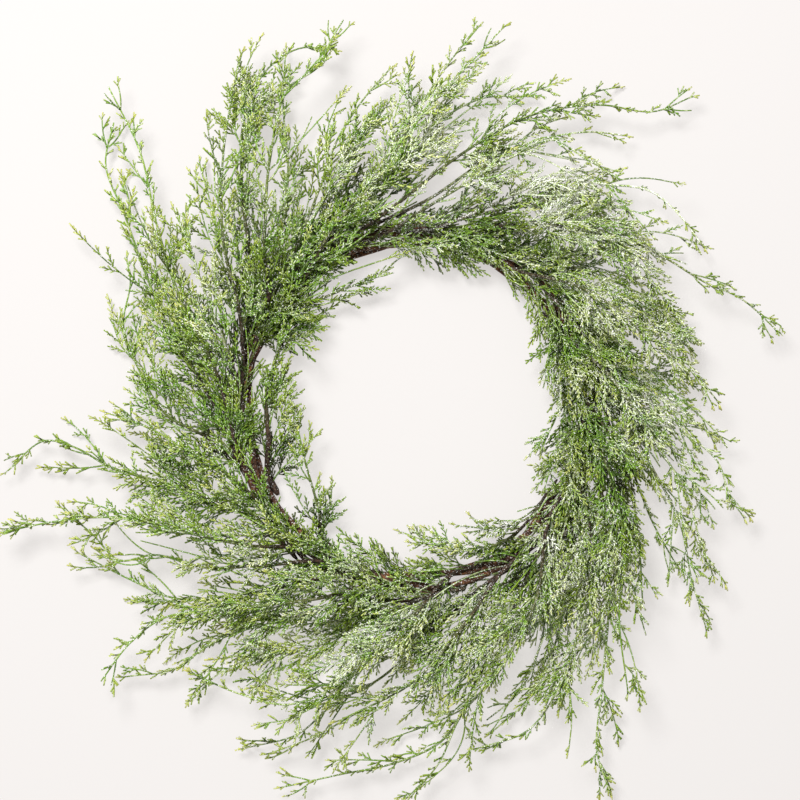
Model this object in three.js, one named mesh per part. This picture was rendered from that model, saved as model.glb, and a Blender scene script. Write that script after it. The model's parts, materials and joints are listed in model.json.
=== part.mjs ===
import * as THREE from "three";

// Frosted cedar wreath lying on its back, in millimetres.
// +Z is its front, +Y the top of the ring, and the back rests on z = 0.

const DEG = Math.PI / 180;

// Layout sheet: x to the right and y down, with the ring's centre at SHEET_X, SHEET_Y.
const SHEET_UNIT = 0.85;
const SHEET_X = 415;
const SHEET_Y = 410;

// Vine ring: four strands wrapped round one another.
const RING_RADIUS = 151;
const STRAND_RADII = [3.3, 2.9, 3.2, 2.8];
const STRAND_TURNS = 3;
const STRAND_STEPS = 40;
const STRAND_SIDES = 6;
const STRAND_PINCH = 4.65;
const STRAND_BULGE = 7.5;
const STRAND_BULGE_MIN = 2.5;
const STRAND_BULGE_SPREAD = 4;
const FLAT_SPANS = 6;
const FLAT_DEPTH = 0.05;

// Pinches where the strands draw together, every second one held by a wire tie.
const PINCH_COUNT = 8;
const PINCH_FIRST = 15;
const PINCH_WANDER = 2.2;
const TIE_EVERY = 2;
const TIE_RADIUS = 9.3;
const TIE_WIRE = 0.75;
const TIE_STEPS = 12;
const TIE_SIDES = 3;

// Sprays: a stem that rides on a strand, side branches, and needle shoots.
const RIDE_GAP = 0.45;
const RIDE_STEP = 18;
const RIDE_RINGS = 2;
const SAMPLE = 2;
const STEM_TIP = 0.7;
const STEM_TAPER = 1.25;
const STATION_PITCH = 75;
const STATION_HALF = 1.3;
const STATION_MIN = 3;
const STATION_MAX = 5;
const FIRST_STATION = 12;
const LAST_STATION = 14;
const TIP_NODE = 9;
const LONGEST_STEP = 64;
const FIRST_LIFT = 0.6;
const BRANCH_ROOT = 1.0;
const BRANCH_TIP = 0.65;
const BRANCH_SHORT = 16;
const BRANCH_LONG = 84;
const BRANCH_BASE = 12;
const BRANCH_SHARE = 0.4;
const INNER_SHARE = 0.62;
const BRANCH_ANGLE = 37;
const BRANCH_ANGLE_RANGE = 16;
const BRANCH_LEAN = 0.9;
const BRANCH_RISE = 0.25;
const BRANCH_BEND = [0, 0.25, 0.5, 0.75, 1];
const BRANCH_KNEE = 0.45;
const BRANCH_TRIES = 14;
const BRANCH_SHRINK = 0.045;
const FLARE = 0.9;
const BRANCH_NODES = [0.42, 0.78];
const NODE_HALF = 1.0;
const SHOOT_LENGTH = 7.5;
const SHOOT_ANGLE = 36;
const SHOOT_ANGLE_RANGE = 14;
const SHOOT_LEAN = 0.8;
const LENGTH_RANGE = 0.3;
const SHOOT_RADIUS = 0.75;
const SHOOT_TRIES = 4;
const SHOOT_SHRINK = 0.12;
const THICKEST_SHOOT_BASE = 1.45;
const LOWEST = 1.5;
const HIGHEST = 90;
const CLEAR = 0.35;
const RIDE_CLEAR = 0.2;
const STEM_CLEARS = [1.6, 0.9, 0.35];
const CELL = 26;

// One row for a spray: clock angle of its root in degrees, root thickness,
// direction in which it sits on the ring (0 outside, 90 front, 180 inside),
// then the stem's points on the sheet with their height above the back.
const SPRAYS = [
  [252, 2.2, 60, [214, 370, 34], [180, 300, 40], [156, 225, 40], [138, 150, 34], [105, 83, 28]],
  [246, 2.1, 0,
    [205, 395, 18], [166, 330, 20], [140, 268, 20], [120, 212, 18], [100, 158, 16], [108, 117, 14]],
  [238, 1.9, 0,
    [205, 440, 14], [158, 412, 12], [135, 372, 13], [118, 325, 15], [125, 275, 16], [122, 260, 16]],
  [262, 1.9, 90, [226, 345, 54], [207, 295, 60], [192, 250, 56], [175, 212, 48]],
  [268, 1.9, 30, [232, 318, 26], [221, 262, 28], [209, 205, 24], [197, 163, 20]],
  [272, 2.2, 90, [238, 305, 46], [225, 250, 52], [222, 180, 50], [229, 110, 44], [240, 54, 36]],
  [281, 2.2, 30,
    [249, 268, 30], [241, 190, 34], [244, 115, 36], [265, 68, 34], [296, 46, 32], [334, 44, 30]],
  [279, 2.2, 90,
    [266, 240, 66], [272, 160, 68], [292, 88, 58], [320, 65, 48], [328, 45, 44], [343, 18, 38]],
  [284, 2.0, 0, [278, 235, 14], [286, 165, 16], [281, 100, 16], [283, 47, 14]],
  [289, 2.1, 60, [288, 264, 42], [319, 188, 44], [336, 140, 40], [362, 98, 36], [388, 67, 32]],
  [303, 2.2, 30, [350, 217, 22], [385, 170, 24], [412, 118, 26], [442, 70, 26], [476, 25, 24]],
  [298, 2.1, 90, [335, 228, 60], [395, 160, 64], [430, 105, 58], [462, 72, 50], [502, 28, 42]],
  [308, 2.0, 0, [352, 215, 12], [402, 158, 12], [445, 112, 14], [485, 92, 14], [532, 90, 13]],
  [318, 2.2, 60,
    [395, 205, 42], [460, 155, 46], [530, 115, 42], [600, 103, 36], [660, 108, 30], [693, 94, 26]],
  [334, 2.0, 90, [448, 196, 62], [510, 160, 64], [555, 142, 56], [580, 156, 50], [622, 180, 44]],
  [350, 2.2, 60,
    [490, 205, 38], [550, 180, 40], [610, 183, 36], [655, 190, 30], [684, 214, 26], [706, 242, 22]],
  [5, 2.2, 75,
    [535, 225, 58], [600, 232, 60], [660, 256, 52], [710, 284, 42], [740, 296, 36], [785, 333, 28]],
  [355, 2.0, 0, [520, 203, 16], [580, 196, 16], [620, 218, 17], [655, 245, 17], [692, 262, 16]],
  [16, 2.0, 30, [560, 262, 30], [615, 280, 32], [665, 308, 30], [692, 345, 26]],
  [24, 2.0, 90, [580, 290, 70], [630, 322, 70], [672, 358, 58], [700, 380, 50], [717, 400, 44]],
  [32, 2.0, 0, [592, 320, 14], [640, 360, 14], [680, 395, 15], [710, 420, 15], [727, 438, 14]],
  [40, 2.2, 60,
    [600, 350, 42], [645, 392, 44], [690, 435, 40], [720, 462, 34], [735, 498, 30], [751, 515, 28]],
  [51, 2.1, 90, [615, 385, 62], [655, 445, 62], [688, 500, 52], [704, 550, 42], [725, 581, 36]],
  [57, 2.1, 30, [618, 405, 24], [652, 465, 26], [682, 525, 26], [694, 580, 22], [709, 629, 18]],
  [64, 1.9, 0, [612, 420, 12], [638, 474, 12], [658, 525, 13], [683, 570, 13]],
  [70, 2.0, 75, [614, 445, 48], [632, 500, 52], [640, 550, 44], [644, 600, 36]],
  [77, 2.1, 90, [606, 470, 70], [621, 540, 68], [618, 620, 56], [628, 690, 44]],
  [84, 2.2, 30, [605, 505, 28], [611, 590, 32], [604, 690, 30], [600, 760, 26], [613, 798, 24]],
  [96, 2.2, 75, [592, 545, 50], [579, 625, 54], [558, 690, 46], [528, 733, 36], [480, 752, 28]],
  [104, 2.0, 0, [572, 565, 14], [561, 640, 14], [535, 700, 15], [495, 738, 14]],
  [116, 2.2, 90, [533, 602, 64], [500, 665, 66], [460, 715, 56], [438, 765, 44], [413, 797, 36]],
  [124, 2.2, 30,
    [512, 617, 26], [478, 682, 30], [442, 745, 28], [395, 768, 24], [340, 780, 22], [283, 793, 20]],
  [138, 2.1, 60, [462, 628, 44], [412, 683, 46], [355, 715, 40], [312, 740, 34], [270, 757, 28]],
  [146, 2.1, 0, [437, 633, 13], [380, 684, 13], [330, 712, 15], [297, 740, 15], [243, 755, 14]],
  [156, 2.1, 90, [400, 630, 62], [345, 678, 62], [285, 704, 50], [240, 695, 42], [192, 676, 36]],
  [172, 2.2, 30,
    [345, 607, 30], [285, 622, 34], [228, 637, 32], [200, 652, 28], [178, 670, 26], [122, 681, 22]],
  [180, 2.2, 75,
    [315, 598, 56], [255, 605, 58], [200, 610, 50], [160, 620, 42], [128, 645, 36], [98, 684, 30]],
  [190, 2.1, 0, [285, 590, 15], [225, 600, 15], [170, 602, 16], [125, 583, 16], [74, 557, 15]],
  [200, 2.1, 60,
    [262, 566, 42], [205, 568, 42], [150, 556, 36], [118, 562, 32], [88, 535, 28], [58, 510, 26]],
  [208, 2.2, 90, [245, 543, 66], [185, 530, 66], [120, 517, 54], [60, 521, 42], [0, 533, 34]],
  [218, 2.2, 30,
    [225, 507, 26], [165, 485, 28], [105, 467, 26], [70, 448, 24], [42, 441, 22], [0, 473, 20]],
  [226, 2.0, 75, [222, 470, 50], [180, 445, 52], [140, 424, 42], [108, 414, 36]],
  [164, 2.0, 0, [370, 625, 14], [315, 650, 15], [255, 664, 16], [215, 679, 16], [190, 703, 15]],
  [326, 2.1, 30, [430, 196, 26], [490, 156, 26], [550, 134, 24], [600, 128, 22], [626, 131, 20]],
  [46, 2.0, 30, [610, 372, 28], [650, 420, 28], [684, 464, 26], [702, 492, 24], [714, 520, 22]],
  [110, 2.0, 30, [552, 580, 30], [541, 650, 30], [519, 698, 26], [488, 725, 22]],
  [208, 1.8, 180, [318, 512, 28], [305, 464, 34], [292, 404, 36]],
  [303, 1.8, 180, [318, 298, 24], [348, 286, 28], [376, 276, 30], [398, 258, 32]],
  [52, 1.8, 180, [560, 365, 34], [560, 405, 42], [549, 432, 44], [532, 452, 44]],
  [116, 1.8, 180, [533, 517, 28], [499, 529, 32], [461, 527, 34]],
  [126, 1.8, 180, [480, 549, 40], [440, 545, 46], [404, 533, 48]],
  [238, 2.2, 180, [267, 440, 24], [265, 400, 28], [273, 362, 30], [286, 328, 30]],
];

const FOLIAGE = { color: 0x6f9156, roughness: 0.8, metalness: 0 };
const VINE = { color: 0x6b4226, roughness: 0.85, metalness: 0 };
const WIRE = { color: 0x4a4038, roughness: 0.5, metalness: 0.6 };

// Seeded draws between 0 and 1.
function draws(seed) {
  let state = seed >>> 0;
  return () => {
    state = (state + 0x6d2b79f5) >>> 0;
    let mix = Math.imul(state ^ (state >>> 15), state | 1);
    mix ^= mix + Math.imul(mix ^ (mix >>> 7), mix | 61);
    return ((mix ^ (mix >>> 14)) >>> 0) / 4294967296;
  };
}

// Factor by which repeated parts differ in length.
function lengthDraw(draw) {
  return 1 - LENGTH_RANGE / 2 + LENGTH_RANGE * draw();
}

function point(x, y, z) {
  return new THREE.Vector3(x, y, z);
}

function onSheet(x, y, z) {
  return point((x - SHEET_X) * SHEET_UNIT, (SHEET_Y - y) * SHEET_UNIT, z);
}

// Clock angles start at the top of the ring and run clockwise seen from the front.
function outward(clock) {
  return point(Math.sin(clock), Math.cos(clock), 0);
}

function mixOf(a, wa, b, wb) {
  return a.clone().multiplyScalar(wa).addScaledVector(b, wb);
}

// A skin of triangles in which a face can be swapped for a tube or a needle that grows from it.
class Skin {
  constructor() {
    this.points = [];
    this.faces = [];
  }

  corner(position) {
    this.points.push(position);
    return this.points.length - 1;
  }

  face(a, b, c) {
    this.faces.push([a, b, c]);
    return this.faces.length - 1;
  }

  // Joins two rings of three and returns the two face numbers on each side.
  join(low, high) {
    return low.map((_, i) => {
      const next = (i + 1) % low.length;
      const first = this.face(low[i], low[next], high[next]);
      const second = this.face(low[i], high[next], high[i]);
      return [first, second];
    });
  }

  close(ring, apex) {
    ring.forEach((a, i) => this.face(a, ring[(i + 1) % ring.length], apex));
  }

  take(faceNumber) {
    const corners = this.faces[faceNumber];
    this.faces[faceNumber] = null;
    return corners;
  }

  geometry() {
    const geometry = new THREE.BufferGeometry();
    const flat = this.points.flatMap((p) => [p.x, p.y, p.z]);
    geometry.setAttribute("position", new THREE.Float32BufferAttribute(flat, 3));
    geometry.setIndex(this.faces.filter((f) => f !== null).flat());
    geometry.computeVertexNormals();
    return geometry;
  }
}

// Closed tube round a closed row of rings.
function loopGeometry(rings) {
  const skin = new Skin();
  const numbers = rings.map((ring) => ring.map((position) => skin.corner(position)));
  numbers.forEach((ring, i) => skin.join(ring, numbers[(i + 1) % numbers.length]));
  return skin.geometry();
}

const pinchClocks = Array.from(
  { length: PINCH_COUNT },
  (_, i) => (PINCH_FIRST + (360 / PINCH_COUNT) * i + PINCH_WANDER * Math.sin(2.4 * i)) * DEG,
);
const tieClocks = pinchClocks.filter((_, i) => i % TIE_EVERY === 0);

// Span between two pinches that holds a clock angle, and how far along it the angle lies.
function spanOf(clock) {
  const turn = 2 * Math.PI;
  const around = ((clock % turn) + turn) % turn;
  for (let i = 0; i < PINCH_COUNT; i += 1) {
    const start = pinchClocks[i];
    const length = (i + 1 < PINCH_COUNT ? pinchClocks[i + 1] : pinchClocks[0] + turn) - start;
    const along = (((around - start) % turn) + turn) % turn;
    if (along < length) {
      return { index: i, along: along / length, middle: start + length / 2 };
    }
  }
  return { index: 0, along: 0, middle: pinchClocks[0] };
}

function strandPhase(strand, clock) {
  return strand * 90 * DEG + STRAND_TURNS * clock;
}

const bulgeDraw = draws(41);
const looseBulges = Array.from(
  { length: PINCH_COUNT * STRAND_RADII.length },
  () => STRAND_BULGE_MIN + STRAND_BULGE_SPREAD * bulgeDraw(),
);

function lowestStrand(clock) {
  const depths = STRAND_RADII.map((_, strand) => Math.sin(strandPhase(strand, clock)));
  return depths.indexOf(Math.min(...depths));
}

// The strand that runs underneath bulges far enough between two pinches to touch the surface.
function strandSpread(strand, clock) {
  const span = spanOf(clock);
  const under = lowestStrand(span.middle) === strand;
  const bulge = under ? STRAND_BULGE : looseBulges[span.index * STRAND_RADII.length + strand];
  return STRAND_PINCH + bulge * Math.sin(Math.PI * span.along) ** 2;
}

function strandDepth(strand, clock) {
  return -strandSpread(strand, clock) * Math.sin(strandPhase(strand, clock));
}

// Height of the ring at which enough spans have a run of their lowest strand on the surface.
function ringHeight() {
  const flatSide = Math.cos(Math.PI / STRAND_SIDES);
  const runs = pinchClocks.map(() => 0);
  for (let step = 0; step < STRAND_STEPS; step += 1) {
    const clock = (2 * Math.PI * step) / STRAND_STEPS;
    const next = (2 * Math.PI * (step + 1)) / STRAND_STEPS;
    const span = spanOf(clock).index;
    STRAND_RADII.forEach((radius, strand) => {
      const shallow = Math.min(strandDepth(strand, clock), strandDepth(strand, next));
      runs[span] = Math.max(runs[span], shallow + radius * flatSide);
    });
  }
  runs.sort((a, b) => b - a);
  return runs[FLAT_SPANS - 1] - FLAT_DEPTH;
}

const RING_HEIGHT = ringHeight();

function strandCentre(strand, clock) {
  const spread = strandSpread(strand, clock);
  const phase = strandPhase(strand, clock);
  const centre = outward(clock).multiplyScalar(RING_RADIUS + spread * Math.cos(phase));
  centre.z = RING_HEIGHT + spread * Math.sin(phase);
  return centre;
}

const strandLines = STRAND_RADII.map((_, strand) =>
  Array.from({ length: STRAND_STEPS }, (unused, i) =>
    strandCentre(strand, (2 * Math.PI * i) / STRAND_STEPS)),
);

// Point on the straight runs between a strand's rings.
function strandAt(strand, clock) {
  const turns = clock / (2 * Math.PI);
  const step = (turns - Math.floor(turns)) * STRAND_STEPS;
  const index = Math.floor(step);
  const line = strandLines[strand];
  return line[index % STRAND_STEPS].clone().lerp(line[(index + 1) % STRAND_STEPS], step - index);
}

function sideways(clock, turn) {
  const direction = outward(clock).multiplyScalar(Math.cos(turn));
  direction.z = Math.sin(turn);
  return direction;
}

function strandGeometry(strand) {
  const rings = strandLines[strand].map((centre, i) => {
    const clock = (2 * Math.PI * i) / STRAND_STEPS;
    return Array.from({ length: STRAND_SIDES }, (_, side) => {
      const turn = (2 * Math.PI * side) / STRAND_SIDES;
      const corner = centre.clone().addScaledVector(sideways(clock, turn), STRAND_RADII[strand]);
      corner.z = Math.max(corner.z, 0);
      return corner;
    });
  });
  return loopGeometry(rings);
}

function tieCentre(clock, turn) {
  const centre = outward(clock).multiplyScalar(RING_RADIUS);
  centre.z = RING_HEIGHT;
  return centre.addScaledVector(sideways(clock, turn), TIE_RADIUS);
}

function tieGeometry(clock) {
  const forward = point(Math.cos(clock), -Math.sin(clock), 0);
  const rings = Array.from({ length: TIE_STEPS }, (_, i) => {
    const turn = (2 * Math.PI * i) / TIE_STEPS;
    return Array.from({ length: TIE_SIDES }, (unused, side) => {
      const angle = (2 * Math.PI * side) / TIE_SIDES;
      return tieCentre(clock, turn)
        .addScaledVector(sideways(clock, turn), TIE_WIRE * Math.cos(angle))
        .addScaledVector(forward, -TIE_WIRE * Math.sin(angle));
    });
  });
  return loopGeometry(rings);
}

// Distance between two straight pieces a-b and c-d.
function pieceDistance(a, b, c, d) {
  const ab = b.clone().sub(a);
  const cd = d.clone().sub(c);
  const ca = a.clone().sub(c);
  const aa = ab.dot(ab);
  const ee = cd.dot(cd);
  const f = cd.dot(ca);
  const cc = ab.dot(ca);
  const bb = ab.dot(cd);
  const denominator = aa * ee - bb * bb;
  const clamp = (value) => Math.min(Math.max(value, 0), 1);
  let s = denominator > 1e-9 ? clamp((bb * f - cc * ee) / denominator) : 0;
  let t = (bb * s + f) / ee;
  if (t < 0) {
    t = 0;
    s = clamp(-cc / aa);
  } else if (t > 1) {
    t = 1;
    s = clamp((bb - cc) / aa);
  }
  return a.clone().addScaledVector(ab, s).distanceTo(c.clone().addScaledVector(cd, t));
}

// Round rods of every piece placed so far, kept in cells so that neighbours are found fast.
class Room {
  constructor() {
    this.cells = new Map();
  }

  keys(rod) {
    const found = [];
    const span = ["x", "y", "z"].map((axis) => {
      const low = Math.min(rod.from[axis], rod.to[axis]) - rod.radius - CLEAR;
      const high = Math.max(rod.from[axis], rod.to[axis]) + rod.radius + CLEAR;
      return [Math.floor(low / CELL), Math.floor(high / CELL)];
    });
    for (let x = span[0][0]; x <= span[0][1]; x += 1) {
      for (let y = span[1][0]; y <= span[1][1]; y += 1) {
        for (let z = span[2][0]; z <= span[2][1]; z += 1) {
          found.push(`${x},${y},${z}`);
        }
      }
    }
    return found;
  }

  add(rod) {
    this.keys(rod).forEach((key) => {
      if (!this.cells.has(key)) {
        this.cells.set(key, []);
      }
      this.cells.get(key).push(rod);
    });
  }

  // Space left between a rod and the nearest other one that it isn't joined to.
  spaceRound(rod) {
    let least = Infinity;
    this.keys(rod).forEach((key) => {
      (this.cells.get(key) ?? []).forEach((other) => {
        if (!rod.joins(other)) {
          const apart = pieceDistance(rod.from, rod.to, other.from, other.to);
          least = Math.min(least, apart - rod.radius - other.radius);
        }
      });
    });
    return least;
  }
}

const room = new Room();

function rodOf(from, to, radius, limb, start, end, key, joins) {
  return { from, to, radius, limb, start, end, key, joins: joins ?? (() => false) };
}

// Fine samples of the smooth curve through a row of points.
function smoothLine(points) {
  const last = points.length - 1;
  const legs = points.slice(1).map((p, i) => p.clone().sub(points[i]));
  const lengths = legs.map((leg) => leg.length());
  const headings = legs.map((leg, i) => leg.clone().divideScalar(lengths[i]));
  const slopes = points.map((_, i) => {
    if (i === 0 || i === last) {
      return headings[i === 0 ? 0 : last - 1].clone();
    }
    const total = lengths[i - 1] + lengths[i];
    return mixOf(headings[i - 1], lengths[i] / total, headings[i], lengths[i - 1] / total);
  });
  const line = [points[0].clone()];
  legs.forEach((_, i) => {
    const steps = Math.ceil(lengths[i] / SAMPLE);
    for (let step = 1; step <= steps; step += 1) {
      const u = step / steps;
      const sample = points[i].clone().multiplyScalar((1 + 2 * u) * (1 - u) ** 2);
      sample.addScaledVector(slopes[i], u * (1 - u) ** 2 * lengths[i]);
      sample.addScaledVector(points[i + 1], u * u * (3 - 2 * u));
      sample.addScaledVector(slopes[i + 1], u * u * (u - 1) * lengths[i]);
      line.push(sample);
    }
  });
  return line;
}

// A stem or branch: a curved line with a frame that doesn't twist and a tapering radius.
class Limb {
  constructor(points, corner, rootRadius, tipRadius) {
    this.line = smoothLine(points);
    this.marks = [0];
    this.line.slice(1).forEach((p, i) => {
      this.marks.push(this.marks[i] + p.distanceTo(this.line[i]));
    });
    this.length = this.marks[this.marks.length - 1];
    this.rootRadius = rootRadius;
    this.tipRadius = tipRadius;
    const last = this.line.length - 1;
    this.headings = this.line.map((_, i) => {
      const ahead = this.line[Math.min(i + 1, last)];
      return ahead.clone().sub(this.line[Math.max(i - 1, 0)]).normalize();
    });
    let carried = corner.clone();
    this.sides = this.headings.map((heading) => {
      carried = carried.clone().addScaledVector(heading, -carried.dot(heading)).normalize();
      return carried;
    });
  }

  at(distance) {
    const held = Math.min(Math.max(distance, 0), this.length);
    let i = 0;
    while (i < this.marks.length - 2 && this.marks[i + 1] < held) {
      i += 1;
    }
    const share = (held - this.marks[i]) / (this.marks[i + 1] - this.marks[i]);
    const position = this.line[i].clone().lerp(this.line[i + 1], share);
    const heading = this.headings[i].clone().lerp(this.headings[i + 1], share).normalize();
    const side = this.sides[i].clone().lerp(this.sides[i + 1], share);
    side.addScaledVector(heading, -side.dot(heading)).normalize();
    return { position, heading, side, over: heading.clone().cross(side) };
  }

  radius(distance) {
    const left = Math.min(Math.max(1 - distance / this.length, 0), 1);
    return this.tipRadius + (this.rootRadius - this.tipRadius) * left ** STEM_TAPER;
  }

  // Direction at an angle round the limb from its first corner.
  around(distance, angle) {
    const frame = this.at(distance);
    return mixOf(frame.side, Math.cos(angle), frame.over, Math.sin(angle));
  }

  ring(distance) {
    const frame = this.at(distance);
    const radius = this.radius(distance);
    return [0, 1, 2].map((corner) => {
      const angle = corner * 120 * DEG;
      const arm = mixOf(frame.side, Math.cos(angle), frame.over, Math.sin(angle));
      return frame.position.clone().addScaledVector(arm, radius);
    });
  }

  faceNormal(distance, face) {
    return this.around(distance, (60 + 120 * face) * DEG);
  }

  rods(stops, keyOf, joins) {
    return stops.slice(1).map((stop, i) => {
      const from = this.at(stops[i]).position;
      const to = this.at(stop).position;
      const radius = Math.max(this.radius(stops[i]), this.radius(stop));
      return rodOf(from, to, radius, this, stops[i], stop, keyOf(i), joins(i));
    });
  }
}

STRAND_RADII.forEach((radius, strand) => {
  strandLines[strand].forEach((centre, i) => {
    const next = strandLines[strand][(i + 1) % STRAND_STEPS];
    room.add(rodOf(centre, next, radius, strand, 0, 0, `strand${strand}`));
  });
});

tieClocks.forEach((clock, tie) => {
  for (let i = 0; i < TIE_STEPS; i += 1) {
    const from = tieCentre(clock, (2 * Math.PI * i) / TIE_STEPS);
    const to = tieCentre(clock, (2 * Math.PI * (i + 1)) / TIE_STEPS);
    room.add(rodOf(from, to, TIE_WIRE, `tie${tie}`, 0, 0, `tie${tie}`));
  }
});

// Distances of the stem's branch stations, of the node at its tip, and of all its rings.
function stemPlan(limb) {
  const rideEnd = RIDE_STEP * (RIDE_RINGS - 1);
  const first = rideEnd + FIRST_STATION;
  const last = limb.length - TIP_NODE - LAST_STATION;
  const wanted = Math.round((last - first) / STATION_PITCH) + 1;
  const count = Math.min(Math.max(wanted, STATION_MIN), STATION_MAX);
  const stations = Array.from({ length: count }, (_, i) => first + ((last - first) * i) / (count - 1));
  const nodes = [...stations, limb.length - TIP_NODE];
  const stops = Array.from({ length: RIDE_RINGS }, (_, i) => i * RIDE_STEP);
  nodes.forEach((node) => {
    const before = stops[stops.length - 1];
    const gap = node - STATION_HALF - before;
    const extra = Math.ceil(gap / LONGEST_STEP);
    for (let i = 1; i < extra; i += 1) {
      stops.push(before + (gap * i) / extra);
    }
    stops.push(node - STATION_HALF, node + STATION_HALF);
  });
  stops.push(limb.length);
  return { stations, nodes, stops };
}

function stemCandidates(clock, seat) {
  const middle = clock + (RIDE_STEP * RIDE_RINGS) / 2 / RING_RADIUS;
  const wanted = point(Math.cos(seat), Math.sin(seat), 0);
  const found = [];
  STRAND_RADII.forEach((radius, strand) => {
    const spread = strandSpread(strand, middle);
    const phase = strandPhase(strand, middle);
    for (let side = 0; side < STRAND_SIDES; side += 1) {
      const turn = (2 * Math.PI * side) / STRAND_SIDES;
      const x = spread * Math.cos(phase) + radius * Math.cos(turn);
      const y = spread * Math.sin(phase) + radius * Math.sin(turn);
      const facing = Math.cos(turn) * wanted.x + Math.sin(turn) * wanted.y;
      found.push({ strand, turn, score: x * wanted.x + y * wanted.y + 4 * facing });
    }
  });
  return found.sort((a, b) => b.score - a.score).slice(0, 12);
}

function tryStem(row, clock, seatOn, lift, clear) {
  const rootRadius = row[1];
  const offset = STRAND_RADII[seatOn.strand] + rootRadius + RIDE_GAP;
  const ride = Array.from({ length: RIDE_RINGS }, (_, i) => {
    const here = clock + (i * RIDE_STEP) / RING_RADIUS;
    return strandAt(seatOn.strand, here).addScaledVector(sideways(here, seatOn.turn), offset);
  });
  const free = row.slice(3).map(([x, y, z], i) => onSheet(x, y, z + lift * (i === 0 ? FIRST_LIFT : 1)));
  const corner = sideways(clock, seatOn.turn).negate();
  const limb = new Limb([...ride, ...free], corner, rootRadius, STEM_TIP);
  const plan = stemPlan(limb);
  const rods = limb.rods(plan.stops, (i) => `stem${i}`, () => () => false);
  const fits = rods.every((rod, i) => {
    const riding = i < RIDE_RINGS;
    const low = Math.min(rod.from.z, rod.to.z) - rod.radius;
    return low > LOWEST && room.spaceRound(rod) > (riding ? RIDE_CLEAR : clear);
  });
  return fits ? { limb, rods, ...plan, branches: [], shoots: [] } : null;
}

const CLOCK_SHIFTS = [0, 3, -3, 6, -6, 9, -9, 12, -12];
const LIFTS = [0, 2, -2, 4, -4, 6, -6, 8, -8, 11, -11];

function placeStem(row, index) {
  const seat = row[2] * DEG;
  for (const clear of STEM_CLEARS) {
    for (const shift of CLOCK_SHIFTS) {
      const clock = (row[0] + shift) * DEG;
      for (const candidate of stemCandidates(clock, seat)) {
        for (const lift of LIFTS) {
          const stem = tryStem(row, clock, candidate, lift, clear);
          if (stem) {
            stem.rods.forEach((rod) => room.add(rod));
            return { ...stem, index, inner: row[2] === 180 };
          }
        }
      }
    }
  }
  throw new Error(`no room for the stem of spray ${index + 1}`);
}

// Faces of a stem station, the ones that look sideways first.
function sidewaysFaces(limb, distance) {
  return [0, 1, 2]
    .map((face) => ({ face, rise: Math.abs(limb.faceNormal(distance, face).z) }))
    .sort((a, b) => a.rise - b.rise)
    .map((entry) => entry.face);
}

function branchStops(limb) {
  const nodes = BRANCH_NODES.map((share) => share * limb.length);
  const stops = [0];
  nodes.forEach((node) => stops.push(node - NODE_HALF, node + NODE_HALF));
  stops.push(limb.length);
  return { nodes, stops };
}

function tryBranch(spray, station, face, key, draw, attempt) {
  const { limb } = spray;
  const frame = limb.at(station);
  const out = limb.faceNormal(station, face);
  const flat = point(out.x, out.y, out.z * 0.5);
  flat.addScaledVector(frame.heading, -flat.dot(frame.heading)).normalize();
  const across = frame.heading.clone().cross(out);
  const lean = mixOf(out, 0.5, flat, 0.6).addScaledVector(across, (draw() - 0.5) * BRANCH_LEAN);
  lean.normalize();
  const opening = (BRANCH_ANGLE + BRANCH_ANGLE_RANGE * (draw() - 0.5)) * DEG;
  const closing = opening * (0.2 + 0.5 * draw());
  const left = limb.length - station;
  const wanted = Math.min(Math.max(BRANCH_SHARE * left + BRANCH_BASE, BRANCH_SHORT), BRANCH_LONG);
  const share = spray.inner ? INNER_SHARE : 1;
  const length = share * wanted * lengthDraw(draw) * (1 - BRANCH_SHRINK * attempt);
  const start = mixOf(frame.heading, Math.cos(opening), lean, Math.sin(opening));
  const ahead = limb.at(station + 0.8 * length).heading;
  const end = mixOf(ahead, Math.cos(closing), lean, Math.sin(closing));
  end.z += BRANCH_RISE * (draw() - 0.5);
  const knee = frame.position.clone().addScaledVector(start, BRANCH_KNEE * length);
  const tip = knee.clone().addScaledVector(end.normalize(), (1 - BRANCH_KNEE) * length);
  const bend = BRANCH_BEND.map((u) =>
    mixOf(frame.position, (1 - u) ** 2, knee, 2 * u * (1 - u)).addScaledVector(tip, u * u));
  const branch = new Limb(bend, out, BRANCH_ROOT, BRANCH_TIP);
  alignToFace(branch, limb, station, face);
  const plan = branchStops(branch);
  const joins = (i) => (other) => {
    if (i > 0) {
      return false;
    }
    const touches = other.start < station + 30 && other.end > station - 4;
    return other.key === key || (other.limb === limb && touches);
  };
  const rods = branch.rods(plan.stops, (i) => (i === 0 ? key : `${key}b${i}`), joins);
  rods[0].radius = Math.max(rods[0].radius, FLARE * limb.radius(station));
  const fits = tip.z < HIGHEST && rods.every((rod) => {
    const low = Math.min(rod.from.z, rod.to.z) - rod.radius;
    return low > LOWEST && room.spaceRound(rod) > CLEAR;
  });
  return fits ? { limb: branch, rods, ...plan, station, face, shoots: [] } : null;
}

// Corners of the first triangle on one side of a station or node.
function faceCorners(limb, distance, half, face) {
  const low = limb.ring(distance - half);
  const high = limb.ring(distance + half);
  const next = (face + 1) % 3;
  return [low[face], low[next], high[next]];
}

// Turns a branch's rings so that they grow from the stem's face without a twist.
function alignToFace(branch, stem, station, face) {
  const corners = faceCorners(stem, station, STATION_HALF, face);
  const frame = branch.at(0);
  const centre = corners.reduce((sum, p) => sum.add(p), point(0, 0, 0)).divideScalar(3);
  let x = 0;
  let y = 0;
  corners.forEach((corner, i) => {
    const arm = corner.clone().sub(centre);
    const angle = Math.atan2(arm.dot(frame.over), arm.dot(frame.side)) - i * 120 * DEG;
    x += Math.cos(angle);
    y += Math.sin(angle);
  });
  const turn = Math.atan2(y, x);
  branch.sides = branch.sides.map((side, i) =>
    mixOf(side, Math.cos(turn), branch.headings[i].clone().cross(side), Math.sin(turn)));
}

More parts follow.
